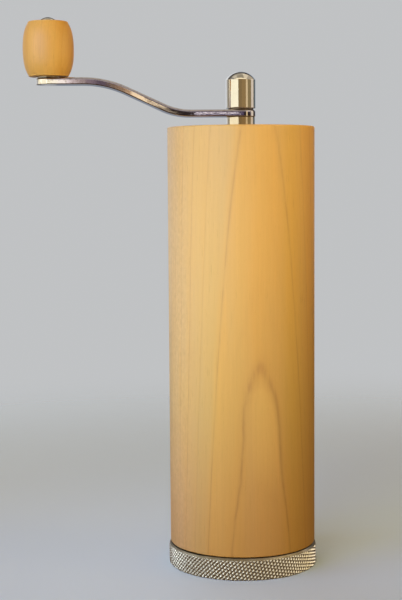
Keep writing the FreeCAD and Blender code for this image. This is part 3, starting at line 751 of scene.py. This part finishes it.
# ------------------------------------------------------------------ crank arm
zm = ARM_Z + ARM_T / 2
ht = ARM_T / 2
FLAT, R1, SLOPE, X2, R2 = 17.2, 22.0, math.radians(24.6), 38.7, 35.0
x1 = FLAT + R1 * math.sin(SLOPE)
rise1 = R1 * (1 - math.cos(SLOPE))
rise2 = rise1 + (X2 - x1) * math.tan(SLOPE)
x3 = X2 + R2 * math.sin(SLOPE)
rise3 = rise2 + R2 * (1 - math.cos(SLOPE))


def spine(x):
    """Height over the flat and the tilt of the strip's middle at x."""
    if x <= FLAT:
        return 0.0, 0.0
    if x <= x1:
        a = math.asin((x - FLAT) / R1)
        return R1 * (1 - math.cos(a)), a
    if x <= X2:
        return rise1 + (x - x1) * math.tan(SLOPE), SLOPE
    if x <= x3:
        a = math.asin((x3 - x) / R2)
        return rise3 - R2 * (1 - math.cos(a)), a
    return rise3, 0.0


# outline of the strip on its +Y side, from the shaft's end to the knob's end
lean = math.asin((4.9 - 4.25) / 64.62)
half = []
a_end = math.atan2(4.9, -math.sqrt(5.0 ** 2 - 4.9 ** 2))
for k in range(15):
    a = math.pi - (math.pi - a_end) * k / 14
    half.append((5.0 * math.cos(a), 5.0 * math.sin(a)))
pa = np.array(half[-1])
pb = np.array((64.62 + 4.25 * math.sin(lean), 4.25 * math.cos(lean)))
for k in range(1, 131):
    q = pa + (pb - pa) * k / 130
    half.append(tuple(q))
for k in range(1, 17):
    a = (math.pi / 2 - lean) * (1 - k / 16)
    half.append((64.62 + 4.25 * math.cos(a), 4.25 * math.sin(a)))
half = np.array(half)
half[0, 1] = half[-1, 1] = 0.0
tang = np.gradient(half, axis=0)
tang[0], tang[-1] = (0, 1), (0, -1)
tang /= np.hypot(tang[:, 0], tang[:, 1])[:, None]
norm = np.stack([-tang[:, 1], tang[:, 0]], 1)
sway = (0.003 * np.sin(half[:, 0] * 0.55 + 0.7) + 0.0010 * np.sin(half[:, 0] * 1.31 + 2.1)
        + 0.0004 * np.sin(half[:, 0] * 2.9))
prof = []
RT, HT, RB = 0.90, 0.72, 0.22
prof.append((1.05, ht))
for k in range(8):
    a = math.pi / 2 * k / 7
    prof.append((RT * (1 - math.sin(a)), ht - HT * (1 - math.cos(a))))
for h in np.linspace(ht - HT, -ht + RB, 8)[1:-1]:
    prof.append((0.0, h))
for k in range(7):
    a = math.pi / 2 * k / 6
    prof.append((RB * (1 - math.cos(a)), -ht + RB * (1 - math.sin(a))))
prof.append((0.50, -ht))
nh = len(half)
loop = [(i, 1) for i in range(nh)] + [(i, -1) for i in range(nh - 2, 0, -1)]
vv, across = [], []


def place(x, y, h):
    z, a = spine(x)
    vv.append((-(x - h * math.sin(a)), -y, zm + z + h * math.cos(a)))
    across.append(h / ht)


for d, h in prof:
    for i, s in loop:
        p = half[i] - norm[i] * d
        y = max(0.0, p[1]) if 0 < i < nh - 1 else 0.0
        if y > 0:
            y = y + sway[i] * min(1.0, y / 4.0)
        place(p[0], s * y, h)
M = len(loop)
ff = []
for j in range(len(prof) - 1):
    for k in range(M):
        m = (k + 1) % M
        ff.append((j * M + k, j * M + m, (j + 1) * M + m, (j + 1) * M + k))
COLS = 6
for base, flip in ((0, False), ((len(prof) - 1) * M, True)):
    d, h = prof[0] if not flip else prof[-1]
    strips = []
    for i in range(nh):
        up = base + i
        if i in (0, nh - 1):
            strips.append([up] * (COLS + 1))
            continue
        dn = base + M - i
        pu = half[i] - norm[i] * d
        row = [up]
        for c in range(1, COLS):
            y = max(0.0, pu[1]) + sway[i]
            yy = y * (1 - 2 * c / COLS)
            row.append(len(vv))
            place(pu[0], yy, h)
        row.append(dn)
        strips.append(row)
    for i in range(nh - 1):
        for c in range(COLS):
            q = [strips[i][c], strips[i + 1][c], strips[i + 1][c + 1], strips[i][c + 1]]
            q = list(dict.fromkeys(q))
            if len(q) > 2:
                ff.append(tuple(reversed(q)) if flip else tuple(q))
arm = make_object("crank_strip", vv, outward(vv, ff), "nickel", "crank", "crank_arm", 40.0)
k_dn = ARM_Z + rise3
cut(arm, [
    box_skin(-2.14, 2.14, -2.14, 2.14, ARM_Z - 2, ARM_Z + 5),
    rod_skin(1.82, 1.82, k_dn - 3, k_dn + 6, KX, 0.0, 48),
    rod_skin(2.7, 1.8, k_dn - 0.001, k_dn + 0.9, KX, 0.0, 48),
])
sharpen(arm, 40.0)
arm.data.materials[0] = MATS["nickel_strip"]

# -------------------------------------------------------------- washer and cap
cap_washer = turned("cap_washer_flat", [
    (2.15, ARM_Z + ARM_T, 0.08), (4.35, ARM_Z + ARM_T, 0.1), (4.35, CAP_Z0, 0.1), (2.15, CAP_Z0, 0.08),
], 96, "nickel", "crank", "cap_washer")
# the washer takes the nickel with the painted shade
cap_washer.data.materials[0] = MATS["nickel_painted_shade"]
dome_r = 5.95
sh = CAP_Z1 - (dome_r - math.sqrt(dome_r ** 2 - 5.05 ** 2))
dome = []
a0 = math.asin(5.05 / dome_r)
# the shoulder's small round joins the side and the dome
fil = 0.35
ca = math.asin((5.05 - fil) / (dome_r - fil))
cz = CAP_Z1 - dome_r + (dome_r - fil) * math.cos(ca)
shoulder = []
for k in range(9):
    a = (math.pi / 2 - ca) * k / 8
    shoulder.append((5.05 - fil + fil * math.cos(a), cz + fil * math.sin(a)))
for k in range(1, 31):
    a = ca * (1 - k / 30)
    dome.append((dome_r * math.sin(a), CAP_Z1 - dome_r + dome_r * math.cos(a)))
dome[-1] = (0.0, CAP_Z1)
rows = [(0.0, CAP_Z0 + 8.6), (2.03, CAP_Z0 + 7.6), (2.03, CAP_Z0 + 0.2), (2.2, CAP_Z0), (4.88, CAP_Z0)]
rows += [(4.92, CAP_Z0 + 0.01), (5.03, CAP_Z0 + 0.10), (5.05, CAP_Z0 + 0.16), (5.05, CAP_Z0 + 0.4)]
rows += [(5.05, z) for z in np.linspace(CAP_Z0 + 1.5, sh - 0.6, 8)] + [(5.05, cz - 0.08)]
rows += shoulder + dome
v, f = revolved(rows, 192, False)
cap = make_object("cap_nut_domed", v, outward(v, f), "nickel", "crank", "cap_nut", 32.0)
cap.data.materials[0] = MATS["nickel_turned"]

# ----------------------------------------------------------------------- knob
rows = []
mid = (KNOB_Z0 + KNOB_Z1) / 2
hk = (KNOB_Z1 - KNOB_Z0) / 2


def knob_r(u):
    return 8.54 - 0.0125 * u * u - 0.00015 * u ** 4


rk = 0.42
body_rows = []
for u in np.linspace(-hk + rk, hk - rk, 33):
    body_rows.append((knob_r(u), mid + u))
re = knob_r(hk - rk)
foot, top = [], []
for k in range(7):
    a = math.pi / 2 * k / 6
    foot.append((re - rk + rk * math.sin(a), KNOB_Z0 + rk - rk * math.cos(a)))
    top.append((re - rk + rk * math.cos(a), KNOB_Z1 - rk + rk * math.sin(a)))
rows = [(3.02, KNOB_Z0), (3.1, KNOB_Z0), (re - rk - 0.08, KNOB_Z0)] + foot[:-1] + body_rows + top[1:]
rows += [(re - rk - 0.08, KNOB_Z1), (3.1, KNOB_Z1), (3.02, KNOB_Z1), (3.02, KNOB_Z1 - 0.1), (3.02, KNOB_Z0 + 0.1)]
kseg = 160
kang = np.arange(kseg) * TAU / kseg
flat_wave = 0.018 * np.sin(5 * kang + 0.4) + 0.012 * np.sin(11 * kang + 1.3) + 0.008 * np.sin(17 * kang)
rows = [((r + flat_wave * min(1.0, (r - 3.1) / 3.0)) if r > 3.1 else r, z) for r, z in rows]
rows = [(np.minimum(r, 8.54), z) if isinstance(r, np.ndarray) else (r, z) for r, z in rows]
v, f = revolved(rows, kseg, True, cx=KX)
knob = make_object("knob_turned", v, outward(v, f), "maple_knob", "knob", "knob", 35.0)

turned("knob_bearing", [
    (1.85, KNOB_Z0, 0.1), (3.0, KNOB_Z0, 0.12), (3.0, KNOB_Z1, 0.12), (1.85, KNOB_Z1, 0.1),
], 72, "brass", "knob", "knob_sleeve", cx=KX)
ktop = ARM_Z + ARM_T + rise3
turned("knob_washer_flat", [
    (1.9, ktop, 0.06), (4.2, ktop, 0.08), (4.2, ktop + 0.33, 0.08), (1.9, ktop + 0.33, 0.06),
], 96, "nickel", "crank", "knob_washer", cx=KX)
hz = KNOB_Z1 + 0.08
hr = (3.15 ** 2 + 1.5 ** 2) / 3.0
hc = hz + 1.5 - hr
tail = ARM_Z + rise3
rows = [(0.0, tail + 0.02), (2.4, tail + 0.02), (2.62, tail + 0.05), (2.62, tail + 0.08), (1.84, tail + 0.84),
        (1.8, tail + 0.88), (1.8, tail + 1.0), (1.8, hz - 0.1), (1.8, hz), (3.02, hz), (3.10, hz + 0.02)]
ha = math.asin(3.12 / hr)
for k in range(17):
    a = ha * (1 - k / 16)
    rows.append((hr * math.sin(a), hc + hr * math.cos(a)))
rows[-1] = (0.0, hz + 1.5)
v, f = revolved(rows, 96, False, cx=KX)
rivet = make_object("knob_rivet", v, outward(v, f), "nickel", "crank", "knob_pin", 35.0)

# ======================================================================= stage


def paper(name, color, near, far):
    """Matt paper that fades out between two distances from the axis."""
    m = bpy.data.materials.new(name)
    m.use_nodes = True
    nt = m.node_tree
    nt.nodes.clear()
    out = nt.nodes.new("ShaderNodeOutputMaterial")
    bs = nt.nodes.new("ShaderNodeBsdfPrincipled")
    tr = nt.nodes.new("ShaderNodeBsdfTransparent")
    mx = nt.nodes.new("ShaderNodeMixShader")
    tc = nt.nodes.new("ShaderNodeTexCoord")
    ln = nt.nodes.new("ShaderNodeVectorMath")
    ln.operation = "LENGTH"
    nt.links.new(tc.outputs["Object"], ln.inputs[0])
    mr = nt.nodes.new("ShaderNodeMapRange")
    mr.interpolation_type = "SMOOTHERSTEP"
    mr.inputs["From Min"].default_value = near
    mr.inputs["From Max"].default_value = far
    nt.links.new(ln.outputs["Value"], mr.inputs["Value"])
    ns = nt.nodes.new("ShaderNodeTexNoise")
    ns.inputs["Scale"].default_value = 900.0
    nt.links.new(tc.outputs["Object"], ns.inputs["Vector"])
    bp = nt.nodes.new("ShaderNodeBump")
    bp.inputs["Distance"].default_value = 0.0001
    bp.inputs["Strength"].default_value = 0.3
    nt.links.new(ns.outputs[0], bp.inputs["Height"])
    nt.links.new(bp.outputs[0], bs.inputs["Normal"])
    bs.inputs["Base Color"].default_value = tuple(color) + (1,)
    bs.inputs["Roughness"].default_value = 0.85
    bs.inputs["Specular IOR Level"].default_value = 0.1
    nt.links.new(mr.outputs[0], mx.inputs[0])
    nt.links.new(bs.outputs[0], mx.inputs[1])
    nt.links.new(tr.outputs[0], mx.inputs[2])
    nt.links.new(mx.outputs[0], out.inputs[0])
    return m


def ground(name, drop, mat):
    v, f = revolved([(0, 0), (300, 0), (900, 0)], 96, False)
    me = bpy.data.meshes.new(name)
    me.from_pydata((np.asarray(v) * MM - np.array([0, 0, drop])).tolist(), [], [tuple(reversed(q)) for q in f])
    me.update()
    ob = bpy.data.objects.new(name, me)
    scene.collection.objects.link(ob)
    me.materials.append(mat)
    if me.polygons[0].normal.z < 0:
        me.flip_normals()
    return ob


# the pale floor that is seen, and a darker cloth just under it that is what
# the object reflects and is lit by
floor = ground("floor", 0.00002, paper("floor_paper", (0.66, 0.80, 0.86), 0.10, 0.52))
floor.visible_diffuse = False
floor.visible_glossy = False
cloth = ground("floor_cloth", 0.00012, paper("floor_cloth", (0.22, 0.19, 0.15), 0.40, 0.90))
cloth.visible_camera = False

# pale backdrop for the camera, a dim warm room for everything that reflects it
world = bpy.data.worlds.new("studio")
scene.world = world
world.use_nodes = True
nt = world.node_tree
nt.nodes.clear()
wo = nt.nodes.new("ShaderNodeOutputWorld")
b1 = nt.nodes.new("ShaderNodeBackground")
b2 = nt.nodes.new("ShaderNodeBackground")
b3 = nt.nodes.new("ShaderNodeBackground")
lp = nt.nodes.new("ShaderNodeLightPath")
m1 = nt.nodes.new("ShaderNodeMixShader")
m2 = nt.nodes.new("ShaderNodeMixShader")
b1.inputs["Color"].default_value = (0.036, 0.025, 0.028, 1)
b2.inputs["Color"].default_value = (0.53, 0.54, 0.55, 1)
b3.inputs["Color"].default_value = (0.45, 0.31, 0.165, 1)
nt.links.new(lp.outputs["Is Diffuse Ray"], m1.inputs[0])
nt.links.new(b1.outputs[0], m1.inputs[1])
nt.links.new(b3.outputs[0], m1.inputs[2])
nt.links.new(lp.outputs["Is Camera Ray"], m2.inputs[0])
nt.links.new(m1.outputs[0], m2.inputs[1])
nt.links.new(b2.outputs[0], m2.inputs[2])
nt.links.new(m2.outputs[0], wo.inputs[0])


def panel(name, centre, target, width, height, radiance, color, kind="gloss", spread=180.0):
    """A soft box: a rectangle facing the target. A gloss box only shows in
    reflections, a fill box only lights matt surfaces."""
    li = bpy.data.lights.new(name, "AREA")
    li.shape = "RECTANGLE"
    li.size = width
    li.size_y = height
    li.energy = radiance * math.pi * width * height
    li.color = color
    li.spread = math.radians(spread)
    ob = bpy.data.objects.new(name, li)
    scene.collection.objects.link(ob)
    c, t = Vector(centre), Vector(target)
    back = (c - t).normalized()
    right = Vector((0, 0, 1)).cross(back).normalized()
    up = back.cross(right)
    m = Matrix((right, up, back)).transposed().to_4x4()
    m.translation = c
    ob.matrix_world = m
    ob.visible_camera = False
    if kind == "gloss":
        ob.visible_diffuse = False
    if kind == "fill":
        ob.visible_glossy = False
    return ob


def wall(name, beta0, beta1, dist, z0, z1, radiance, color, kind="gloss", lift=0.0):
    """A vertical soft box that spans these directions, in degrees from the
    camera's, seen from the barrel. Lift tips it back and raises its target."""
    b = math.radians((beta0 + beta1) / 2 - 6.0)
    w = 2 * dist * math.tan(math.radians(abs(beta1 - beta0) / 2))
    c = (dist * math.sin(b), -dist * math.cos(b), (z0 + z1) / 2)
    return panel(name, c, (0, 0, (z0 + z1) / 2 + lift), w, z1 - z0, radiance, color, kind)


def azim(beta, dist, z):
    b = math.radians(beta - 6.0)
    return (dist * math.sin(b), -dist * math.cos(b), z)


# what may be lit by some boxes only
arm_only = bpy.data.collections.new("crank_cards")
arm_only.objects.link(arm)
plated = bpy.data.collections.new("room_walls")
for ob in list(scene.objects):
    if ob.type == "MESH" and ob is not arm:
        plated.objects.link(ob)
domes = bpy.data.collections.new("dome_walls")
domes.objects.link(cap)
domes.objects.link(rivet)
ring_only = bpy.data.collections.new("ring_walls")
ring_only.objects.link(ring)
not_ring = bpy.data.collections.new("cream_wall")
for ob in list(scene.objects):
    if ob.type == "MESH" and ob is not ring:
        not_ring.objects.link(ob)
floor_only = bpy.data.collections.new("floor_light")
floor_only.objects.link(floor)

# matt light: soft keys high in front, which fall off towards the foot
panel("key", azim(-15, 0.325, 0.24), (0, 0, 0.17), 0.20, 0.16, 1.19, (0.96, 0.97, 0.92), "fill", 100.0)
panel("key_left", azim(-45, 0.325, 0.24), (0, 0, 0.17), 0.20, 0.16, 2.10, (0.26, 0.38, 1.0), "fill", 100.0)
panel("belly", azim(-20, 0.30, 0.13), (0, 0, 0.105), 0.16, 0.12, 0.61, (0.95, 0.92, 0.90), "fill", 45.0)
panel("belly_left", azim(-75, 0.30, 0.10), (0, 0, 0.06), 0.16, 0.12, 0.66, (0.46, 0.62, 1.0), "fill", 45.0)
panel("right_edge", azim(75, 0.30, 0.22), (0, 0, 0.155), 0.16, 0.12, 0.55, (1.0, 0.68, 0.30), "fill", 45.0)
wall("left_back_fill", -178, -119, 0.61, 0.02, 0.50, 0.90, (0.40, 0.60, 1.0), "fill")
wash = panel("floor_wash", (0, 0.1, 0.9), (0, 0.1, 0), 1.2, 1.2, 0.36, (0.42, 0.76, 1.0), "fill")
wash.light_linking.receiver_collection = floor_only
# what the metal mirrors
ob = wall("cream_left", -100, -17, 0.55, 0.08, 0.50, 1.30, (1.0, 0.98, 0.80))
ob.light_linking.receiver_collection = not_ring
ob = wall("white_back_left", -178, -119, 0.6, 0.02, 0.50, 0.62, (0.90, 0.95, 1.0), "both")
ob.light_linking.receiver_collection = plated
wall("gold_right", 42, 57, 0.7, 0.02, 0.50, 0.80, (1.0, 0.80, 0.50))
wall("light_right", 90, 118, 0.7, 0.02, 0.50, 0.80, (1.0, 0.90, 0.80))
for i, (b0, b1_, rad, col) in enumerate((
        (-17, 9, 0.25, (1.0, 0.70, 0.28)), (9, 42, 0.31, (1.0, 0.68, 0.26)), (57, 90, 0.27, (1.0, 0.78, 0.36)),
        (-119, -100, 0.30, (1.0, 0.92, 0.70)), (118, 182, 0.13, (0.65, 0.90, 1.0)))):
    ob = wall("room_%d" % i, b0, b1_, 0.72, 0.02, 0.50, rad, col)
    ob.light_linking.receiver_collection = plated
for ob in (
        panel("dome_front", azim(0, 0.30, 0.75), (0, 0, 0.165), 1.10, 0.34, 1.00, (1.0, 0.88, 0.60)),
        panel("dome_far_left", azim(-150, 0.50, 0.62), (0, 0, 0.165), 0.80, 0.90, 0.10, (0.95, 1.0, 0.95)),
        panel("dome_left", azim(-85, 0.50, 0.62), (0, 0, 0.165), 0.62, 0.90, 0.26, (1.0, 0.98, 0.88)),
        panel("dome_right", azim(105, 0.50, 0.62), (0, 0, 0.165), 0.90, 0.90, 0.50, (1.0, 0.90, 0.72))):
    ob.light_linking.receiver_collection = domes
panel("ceiling", (0, 0.05, 1.1), (0, 0, 0.1), 1.1, 1.1, 0.36, (1.0, 0.92, 0.70))
# the facets of the knurl look low to the left and higher up to the right
for ob in (
        wall("ring_low_left", -105, -48, 0.45, 0.0, 0.060, 3.90, (0.86, 0.95, 1.0)),
        wall("ring_back_left", -124, -98, 0.50, 0.02, 0.45, 0.50, (0.86, 0.95, 1.0)),
        wall("ring_cream", -100, -17, 0.54, 0.08, 0.50, 0.84, (1.0, 0.99, 0.84)),
        wall("ring_front_high", -17, 57, 0.55, 0.20, 0.56, 0.80, (1.0, 0.97, 0.84)),
        wall("ring_right_high", 57, 112, 0.60, 0.045, 0.50, 0.90, (1.0, 0.80, 0.44))):
    ob.light_linking.receiver_collection = ring_only
panel("back", (0, 1.3, 0.45), (0, 0, 0.1), 2.2, 0.9, 0.30, (0.70, 0.82, 1.0))


for ob in (
        wall("strip_top", -75, 85, 0.35, 0.22, 0.62, 0.42, (0.92, 0.84, 1.0)),
        wall("strip_end", -160, -100, 0.60, 0.02, 0.50, 0.60, (0.90, 0.95, 1.0)),
        panel("strip_above", (0.0, 0.30, 0.90), (0, 0, 0.16), 1.6, 0.9, 0.34, (0.92, 0.86, 1.0)),
        panel("strip_right", azim(88, 0.60, 0.62), (0, 0, 0.16), 0.6, 0.6, 0.50, (1.0, 0.90, 0.78)),
        panel("strip_left", azim(-88, 0.60, 0.62), (0, 0, 0.16), 0.6, 0.6, 0.50, (0.92, 0.92, 1.0))):
    ob.light_linking.receiver_collection = arm_only

# narrow cards beside the camera, for the long side of the crank only: each one
# lies where that side of the strip mirrors the camera's view
CAM_MM = np.array([-467.4165 * math.sin(math.radians(6.0)), -467.4165 * math.cos(math.radians(6.0)), 133.522])
SIDE_N = np.array([-math.sin(lean), -math.cos(lean), 0.0])


def mirrored(x, h, plane):
    """Where the view of the strip's side at (x, h) meets the plane y."""
    z, a = spine(max(0.0, x))
    p = np.array([-(x - h * math.sin(a)), -(4.9 - 0.65 * x / 64.62), zm + z + h * math.cos(a)])
    d = p - CAM_MM
    r = d - 2 * (d @ SIDE_N) * SIDE_N
    q = p + r * (plane - p[1]) / r[1]
    return np.array([q[0], q[2]])


def card(name, xa, xb, radiance, color, h0=None, h1=None, taper=0.0, plane=-158.0):
    """A card seen in the strip from xa to xb (mm from the shaft, the knob's
    side first), between the heights h0 and h1 over its middle line."""
    if h0 is None:
        qa, qb = mirrored(xa, 0.0, plane), mirrored(xb, 0.0, plane)
        mid_x, mid_z = (qa[0] + qb[0]) / 2, (qa[1] + qb[1]) / 2
        u, w, h = np.array([1.0, 0.0]), qb[0] - qa[0], 26.0 + abs(qb[1] - qa[1])
    else:
        hm = (h0 + h1) / 2
        qa, qb = mirrored(xa, hm - taper / 2, plane), mirrored(xb, hm + taper / 2, plane)
        mid_x, mid_z = (qa + qb) / 2
        w = float(np.hypot(*(qb - qa)))
        u, h = (qb - qa) / w, (h1 - h0) * 1.334
    ob = panel(name, (mid_x * MM, plane * MM, mid_z * MM), (mid_x * MM, 0, mid_z * MM), w * MM, h * MM,
               radiance, color)
    m = Matrix((Vector((u[0], 0, u[1])), Vector((-u[1], 0, u[0])), Vector((0, -1, 0)))).transposed().to_4x4()
    m.translation = Vector((mid_x, plane, mid_z)) * MM
    ob.matrix_world = m
    ob.light_linking.receiver_collection = arm_only
    return ob


for i, (xa, xb, rad, col) in enumerate((
        (105.0, 64.0, 1.30, (1.0, 0.98, 0.82)), (64.0, 61.6, 1.30, (1.0, 0.97, 0.90)),
        (61.6, 58.6, 1.20, (1.0, 0.94, 0.97)), (58.6, 56.6, 0.92, (0.98, 0.88, 1.0)),
        (56.6, 54.4, 0.64, (1.0, 0.86, 0.96)), (54.4, 52.2, 0.42, (1.0, 0.82, 0.90)),
        (52.2, 49.6, 0.26, (0.94, 0.72, 1.0)), (49.6, 44.5, 0.14, (0.78, 0.60, 1.0)),
        (44.5, 42.0, 0.20, (1.0, 0.72, 0.54)), (42.0, 39.6, 0.28, (1.0, 0.68, 0.48)),
        (39.6, 36.6, 0.50, (1.0, 0.66, 0.42)), (36.6, 31.0, 1.25, (1.0, 0.82, 0.60)),
        (16.5, -9.0, 0.13, (0.52, 0.42, 1.0)))):
    card("card_%d" % i, xa, xb, rad, col)
# a dark wedge grows between two bright edges, down the slope
card("edge_top_0", 31.0, 25.4, 1.35, (1.0, 0.84, 0.64), 0.45, 1.4, 0.5, -157.0)
card("edge_foot_0", 31.0, 27.0, 1.35, (1.0, 0.84, 0.64), -1.5, -0.25, -0.3, -157.0)
card("edge_foot_1", 27.0, 21.5, 1.35, (1.0, 0.86, 0.68), -1.6, -0.62, -0.4, -157.0)
card("streak_0", 44.0, 36.0, 0.90, (1.0, 0.78, 0.60), -1.5, -0.85, 0.3, -157.0)
card("streak_1", 40.0, 33.5, 0.15, (1.0, 0.70, 0.45), 0.15, 0.45, 0.3, -156.5)
card("streak_2", 36.0, 31.5, 0.25, (1.0, 0.70, 0.45), -0.50, -0.22, 0.2, -156.5)
# a broken white line along the flat by the shaft
x = 16.6
k = 0
while x > 0.8:
    step = float(rng.uniform(0.5, 2.4))
    hh = float(rng.uniform(0.16, 0.30))
    base = 0.10 + float(rng.uniform(-0.05, 0.05))
    card("dash_%d" % k, x, max(0.6, x - step), float(rng.uniform(1.9, 3.2)), (0.90, 0.88, 1.0),
         base - hh, base + hh, 0.0, -157.0)
    x -= step + float(rng.uniform(0.10, 0.45))
    k += 1

# ====================================================================== camera
F_PX, D_MM, ZC = 1364.763, 467.4165, 133.522


def camera_axes(pitch, yaw, roll, turn):
    cp, sp = math.cos(pitch), math.sin(pitch)
    cy, sy = math.cos(yaw), math.sin(yaw)
    fwd = np.array([sy * cp, cy * cp, -sp])
    right = np.array([cy, -sy, 0.0])
    down = np.cross(fwd, right)
    cr, sr = math.cos(roll), math.sin(roll)
    r2 = right * cr + down * sr
    d2 = -right * sr + down * cr
    c, s = math.cos(turn), math.sin(turn)
    rot = np.array([[c, -s, 0], [s, c, 0], [0, 0, 1]])
    return rot @ r2, rot @ d2, rot @ fwd


right, down, fwd = camera_axes(*[math.radians(a) for a in (5.1664, -1.7066, 0.41445, -6.0)])
cam_data = bpy.data.cameras.new("camera")
cam_data.sensor_width = 36.0
cam_data.lens = F_PX * 36.0 / 600.0
cam_data.clip_start = 0.01
cam_data.clip_end = 20.0
cam = bpy.data.objects.new("camera", cam_data)
scene.collection.objects.link(cam)
m = Matrix((Vector(right), Vector(-down), Vector(-fwd))).transposed().to_4x4()
m.translation = Vector((-D_MM * math.sin(math.radians(6.0)), -D_MM * math.cos(math.radians(6.0)), ZC)) * MM
cam.matrix_world = m
scene.camera = cam

scene.view_settings.view_transform = "Standard"
scene.view_settings.look = "None"
